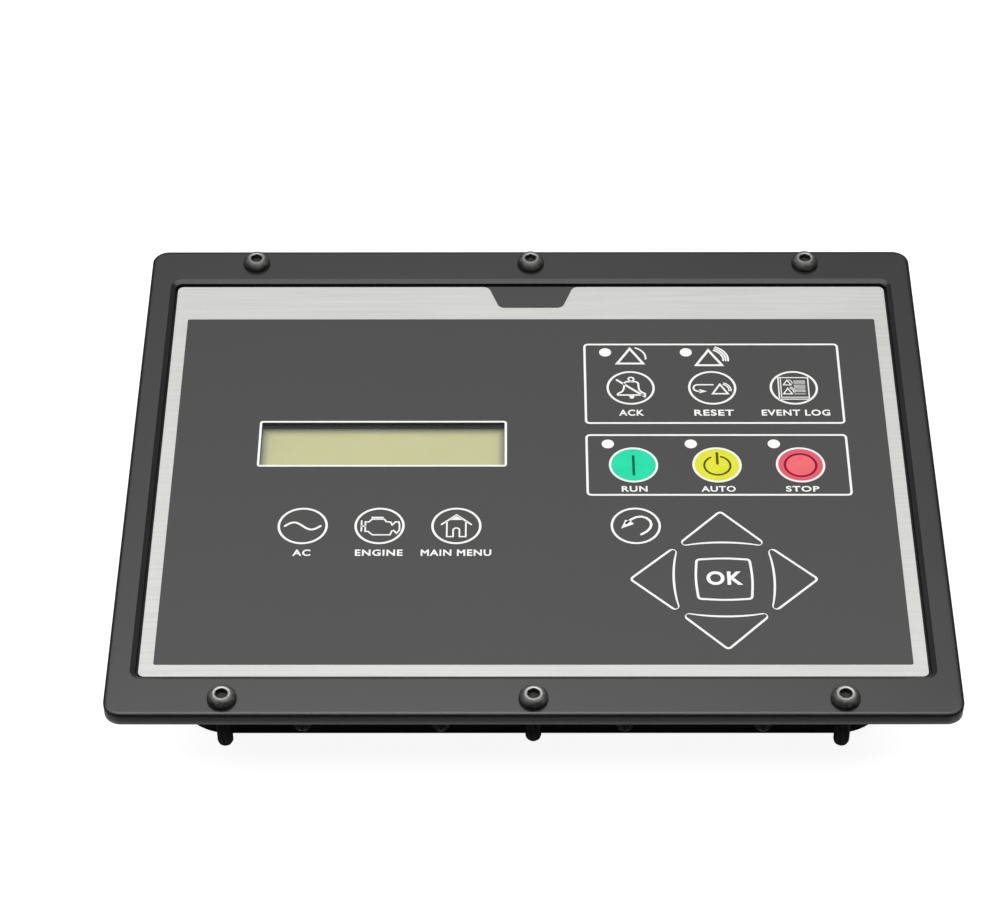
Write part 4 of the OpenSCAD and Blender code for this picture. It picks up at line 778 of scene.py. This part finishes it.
pane = finish("clear_pane", dark=(0.10, 0.105, 0.11), light=(0.16, 0.165, 0.17),
              cloud=0.02, fine=0.001, smooth=0.05, dull=0.14, relief=0.000002, Alpha=0.12)
wiped = place_effect(pane.node_tree, streaks, Length=0.04, Width=0.003)
lay_over(pane, wiped.outputs["Mask"], Roughness=0.22)
dress(pane, "window_pane")


# Display
# A reflective yellow-green liquid crystal cell in a blackened steel frame, on an acrylic light
# guide and its own small green board. The idle segments leave a faint grid of dots, and the
# margin round them is darker: partly the cell's own border, partly painted shade from the
# window's walls, which is why the dark margin is widest at the top.

bezel_black = finish("display_frame_black", dark=(0.016, 0.016, 0.016), light=(0.026, 0.026, 0.026),
                     cloud=0.01, fine=0.0005, smooth=0.4, dull=0.55, relief=0.00001, Metallic=0.2)
dress(bezel_black, "lcd_frame")


def dot_effect():
    """Square dots in rows and columns, each a little smaller than its pitch: a brick pattern with
    no offset, whose joints are the clear lines between the dots."""
    tree, given, out = effect("dots", {"Pitch": "Float", "Gap": "Float"}, {"Mask": "Float"})
    place = add(tree, "TexCoord").outputs["Object"]
    bricks = add(tree, "TexBrick",
                 {"Vector": place, "Scale": 1.0, "Mortar Size": given["Gap"],
                  "Row Height": given["Pitch"], "Brick Width": given["Pitch"]}, offset=0.0)
    tree.links.new(bricks.outputs["Fac"], out["Mask"])
    return tree


dots = dot_effect()
crystal = finish("liquid_crystal", dark=(0.66, 0.64, 0.305), light=(0.73, 0.71, 0.35),
                 cloud=0.03, fine=0.0009, smooth=0.16, dull=0.26, relief=0.000003)
idle = place_effect(crystal.node_tree, dots, Pitch=0.0009, Gap=0.00007)
lay_over(crystal, idle.outputs["Mask"], Base_Color=(0.75, 0.74, 0.40))
pane_low, pane_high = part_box("window_pane")
# The field sits lower, so that the darker margin, partly painted shade cast by the window's upper
# wall, is widest at the top.
top_shade_drop = 0.002
field_middle = ((pane_low.x + pane_high.x) / 2, (pane_low.y + pane_high.y) / 2 - top_shade_drop, 0)
margin_and_shade = place_effect(crystal.node_tree, border, Soft=0.0030, Half=(0.0445, 0.0105, 1),
                      Centre=field_middle)
lay_over(crystal, margin_and_shade.outputs["Mask"], Base_Color=(0.36, 0.37, 0.27))
dress(crystal, "lcd_glass")

guide = finish("acrylic_guide", dark=(0.70, 0.70, 0.64), light=(0.80, 0.80, 0.74),
               cloud=0.02, fine=0.001, smooth=0.2, dull=0.32, relief=0.00001)
dress(guide, "lcd_light_guide")
pipes = finish("clear_pipes", dark=(0.78, 0.79, 0.78), light=(0.88, 0.89, 0.88),
               cloud=0.006, fine=0.0008, smooth=0.08, dull=0.18, relief=0.00001, Alpha=0.45)
dress(pipes, "light_pipes")
lamps = finish("lamp_body", dark=(0.72, 0.72, 0.62), light=(0.85, 0.85, 0.76),
               cloud=0.002, fine=0.0004, smooth=0.3, dull=0.45, relief=0.00001)
dress(lamps, "status_lamps")


# Circuit boards
# The main board and the display's own board: glass-epoxy laminate under green solder mask, with
# copper tracks that show as paler lines, and the woven glass as a fine relief.

board = finish("solder_mask", dark=(0.008, 0.095, 0.035), light=(0.014, 0.13, 0.05),
               cloud=0.02, fine=0.0006, smooth=0.24, dull=0.4, relief=0.00001)
wiring = place_effect(board.node_tree, tracks, Pitch=0.0022, Length=0.018)
lay_over(board, wiring.outputs["Mask"], Base_Color=(0.028, 0.20, 0.075), Roughness=0.22)
dress(board, "main_board", "lcd_board")


# Board parts
# What is soldered to the boards: epoxy packages, relays, sleeved capacitors, potted current
# transformers, a wound inductor, the clock battery in its holder and the ribbon socket.

epoxy = finish("chip_epoxy", dark=(0.014, 0.014, 0.014), light=(0.028, 0.028, 0.028),
               cloud=0.004, fine=0.0003, smooth=0.55, dull=0.7, relief=0.00002)
dress(epoxy, "processor_chip", "logic_chips", "lcd_connector", "battery_holder")
relay_case = finish("relay_case", dark=(0.022, 0.022, 0.026), light=(0.034, 0.034, 0.039),
                    cloud=0.012, fine=0.0006, smooth=0.34, dull=0.48, relief=0.00001)
dress(relay_case, "relays")
sleeve = finish("capacitor_sleeve", dark=(0.035, 0.052, 0.10), light=(0.055, 0.075, 0.135),
                cloud=0.008, fine=0.0005, smooth=0.2, dull=0.34, relief=0.00001)
dress(sleeve, "capacitors")
resin = finish("potting_resin", dark=(0.035, 0.06, 0.16), light=(0.055, 0.09, 0.22),
               cloud=0.01, fine=0.0008, smooth=0.4, dull=0.55, relief=0.00003)
dress(resin, "current_transformers")
cell_steel = finish("battery_steel", dark=(0.50, 0.50, 0.50), light=(0.63, 0.63, 0.62),
                    cloud=0.01, fine=0.0006, smooth=0.2, dull=0.32, relief=0.000006, Metallic=1.0)
brushed = place_effect(cell_steel.node_tree, streaks, Length=0.02, Width=0.00025)
lay_over(cell_steel, brushed.outputs["Mask"], Roughness=0.38)
dress(cell_steel, "clock_battery")
cream = finish("socket_nylon", dark=(0.68, 0.63, 0.50), light=(0.77, 0.72, 0.60),
               cloud=0.008, fine=0.0005, smooth=0.42, dull=0.58, relief=0.00001)
dress(cream, "ribbon_socket")


def winding_effect():
    """Turns of wire round a ring: the sine of the angle about the ring's axis times the number
    of turns."""
    tree, given, out = effect("winding", {"Turns": "Float"}, {"Mask": "Float"})
    low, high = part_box("power_inductor")
    middle = (low + high) / 2
    place = add(tree, "TexCoord").outputs["Object"]
    moved = add(tree, "Mapping",
                {"Vector": place, "Location": (-middle.x, -middle.y, 0)}).outputs[0]
    parts = add(tree, "SeparateXYZ", {0: moved}).outputs
    angle = add(tree, "Math", {0: parts["Y"], 1: parts["X"]}, operation="ARCTAN2").outputs[0]
    wound = add(tree, "Math", {0: angle, 1: given["Turns"]}, operation="MULTIPLY").outputs[0]
    wave = add(tree, "Math", {0: wound}, operation="SINE").outputs[0]
    tree.links.new(add(tree, "MapRange", {"Value": wave, "From Min": -1.0}).outputs[0], out["Mask"])
    return tree


copper = finish("enamelled_copper", dark=(0.16, 0.045, 0.014), light=(0.24, 0.07, 0.022),
                cloud=0.006, fine=0.0005, smooth=0.26, dull=0.4, relief=0.00002, Metallic=0.6)
wires = place_effect(copper.node_tree, winding_effect(), Turns=46.0)
lay_over(copper, wires.outputs["Mask"], Base_Color=(0.46, 0.17, 0.06))
dress(copper, "power_inductor")


# Header
# The many-pin connector through the rear: a black nylon shell and pin carrier, tinned brass pins,
# a brass insert for the plug's jack screw and a red silicone seal.

shell = finish("header_nylon", dark=(0.017, 0.017, 0.019), light=(0.028, 0.028, 0.031),
               cloud=0.015, fine=0.0007, smooth=0.42, dull=0.58, relief=0.00003)
dress(shell, "header_shell", "pin_carrier")
brass = finish("plated_brass", dark=(0.50, 0.34, 0.11), light=(0.66, 0.47, 0.18),
               cloud=0.004, fine=0.0003, smooth=0.2, dull=0.34, relief=0.000008, Metallic=1.0)
drawn_brass = place_effect(brass.node_tree, streaks, Length=0.0004, Width=0.002)
lay_over(brass, drawn_brass.outputs["Mask"], Roughness=0.4)
dress(brass, "header_pins", "jack_insert")
silicone = finish("red_silicone", dark=(0.20, 0.030, 0.020), light=(0.28, 0.048, 0.032),
                  cloud=0.01, fine=0.0006, smooth=0.6, dull=0.78, relief=0.00003)
dress(silicone, "header_seal")


# Rear cover
# A shallow die-cast lid, black coated, screwed to the housing over its foam gasket. A round of
# white breathable membrane closes its vent.

cover_coat = finish("cover_coat", dark=(0.020, 0.020, 0.0205), light=(0.029, 0.029, 0.0295),
                    cloud=0.025, fine=0.0011, smooth=0.48, dull=0.66, relief=0.00006,
                    Specular_IOR_Level=0.4)
cover_edge = place_effect(cover_coat.node_tree, edge_wear, Radius=0.0006, Amount=1.4)
lay_over(cover_coat, cover_edge.outputs["Mask"], Base_Color=(0.10, 0.10, 0.098), Roughness=0.4)
dress(cover_coat, "rear_cover")
membrane = finish("vent_membrane", dark=(0.70, 0.70, 0.68), light=(0.84, 0.84, 0.82),
                  cloud=0.002, fine=0.0003, smooth=0.8, dull=0.95, relief=0.00003)
felt = place_effect(membrane.node_tree, foam_cells, Size=0.0004)
lay_over(membrane, felt.outputs["Mask"], Base_Color=(0.88, 0.88, 0.86))
dress(membrane, "vent_membrane")


# Studio
# A plain floor that the camera sees as near white, and that throws little light back on the
# module's sides; one wide soft box hung over the module; and a dim surround, darker in front,
# with a bright patch high behind that the glossy coats mirror.

reach = 5.0
floor_mesh = bpy.data.meshes.new("floor")
floor_corners = [(-reach, -reach, 0), (reach, -reach, 0), (reach, reach, 0), (-reach, reach, 0)]
floor_mesh.from_pydata(floor_corners, [], [(0, 1, 2, 3)])
floor = bpy.data.objects.new("floor", floor_mesh)
bpy.context.scene.collection.objects.link(floor)
floor_paint = finish("pale_floor", dark=(0.36, 0.36, 0.36), light=(0.38, 0.38, 0.38),
                     cloud=0.4, fine=0.004, smooth=0.7, dull=0.8, relief=0.00001,
                     Specular_IOR_Level=0.2, Emission_Color=(0, 0, 0, 1), Emission_Strength=1.0)
floor_tree = floor_paint.node_tree
ray = add(floor_tree, "LightPath").outputs
lay_over(floor_paint, ray["Is Camera Ray"], Emission_Color=(0.92, 0.92, 0.92))

# Three rectangles round the module's foot, by half width, half depth and soft edge. What a gloss
# mirrors is painted dark beyond the first, and glows between the other two: a painted reflection
# that only glossy rays see, which brightens the rims above it.
far_off, near, next_off = (
    place_effect(floor_tree, border, Centre=(0, 0, 0), Half=(x, y, 1), Soft=soft).outputs["Mask"]
    for x, y, soft in ((0.20, 0.165, 0.07), (0.150, 0.118, 0.003), (0.168, 0.138, 0.02)))
glossy = ray["Is Glossy Ray"]
dim = add(floor_tree, "Math", {0: glossy, 1: far_off}, operation="MULTIPLY").outputs[0]
lay_over(floor_paint, dim, Base_Color=(0.01, 0.01, 0.01))
strip = add(floor_tree, "Math", {0: near, 1: next_off}, operation="SUBTRACT").outputs[0]
strip = add(floor_tree, "Math", {0: glossy, 1: strip}, operation="MULTIPLY").outputs[0]
lay_over(floor_paint, strip, Emission_Color=(0.5, 0.5, 0.5))
lay_over(floor_paint, ray["Is Diffuse Ray"], Base_Color=(0.10, 0.10, 0.10))
floor_mesh.materials.append(floor_paint)


def soft_light(name, watts, width, depth, place, aim):
    """A soft box: an area light of this width and depth, turned to face a point."""
    light = bpy.data.lights.new(name, "AREA")
    light.shape = "RECTANGLE"
    light.size = width
    light.size_y = depth
    light.energy = watts
    box = bpy.data.objects.new(name, light)
    bpy.context.scene.collection.objects.link(box)
    facing = (Vector(aim) - Vector(place)).to_track_quat("-Z", "Y").to_matrix().to_4x4()
    box.matrix_world = Matrix.Translation(place) @ facing


soft_light("overhead_box", watts=13.0, width=2.2, depth=0.9,
           place=(-0.15, -0.07, 0.8), aim=(-0.15, -0.07, 0))

world = bpy.data.worlds.new("surround")
bpy.context.scene.world = world
world.use_nodes = True
sky = world.node_tree
patch_way = (-0.03, 0.42, 0.905)
patch_squeeze = (1.8, 1.0, 1.0)
patch_reach = 0.6
patch_glow, dim_glow, back_glow = 3.75, 0.04, 0.22
spread = add(sky, "TexCoord").outputs["Generated"]
glow = add(sky, "VectorMath", {0: spread, 1: patch_way}, operation="SUBTRACT").outputs[0]
glow = add(sky, "VectorMath", {0: glow, 1: patch_squeeze}, operation="MULTIPLY").outputs[0]
glow = add(sky, "VectorMath", {0: glow}, operation="LENGTH").outputs["Value"]
glow = add(sky, "MapRange",
           {"Value": glow, "From Max": patch_reach, "To Min": patch_glow, "To Max": dim_glow},
           interpolation_type="SMOOTHSTEP").outputs[0]
behind = add(sky, "SeparateXYZ", {0: spread}).outputs["Y"]
behind = add(sky, "MapRange", {"Value": behind, "To Max": back_glow}).outputs[0]
glow = add(sky, "Math", {0: glow, 1: behind}, operation="ADD").outputs[0]
seen = add(sky, "LightPath").outputs["Is Camera Ray"]
shade = add(sky, "Mix", {"Factor": seen, "A": glow, "B": 1.0}).outputs[0]
sky.links.new(shade, sky.nodes["Background"].inputs["Color"])

camera_data = bpy.data.cameras.new("camera")
camera_data.sensor_width = 36.0
camera_data.lens = 119.05
camera_data.clip_start = 0.05
camera_data.clip_end = 20.0
camera = bpy.data.objects.new("camera", camera_data)
bpy.context.scene.collection.objects.link(camera)
camera_place = (-0.0081, -0.8988, 0.9509)
tilt, roll, pan = 44.921, 0.190, -0.027
camera.matrix_world = (Matrix.Translation(camera_place)
                       @ Matrix.Rotation(math.radians(tilt), 4, "X")
                       @ Matrix.Rotation(math.radians(roll), 4, "Y")
                       @ Matrix.Rotation(math.radians(pan), 4, "Z"))
bpy.context.scene.camera = camera
bpy.context.scene.view_settings.view_transform = "Standard"
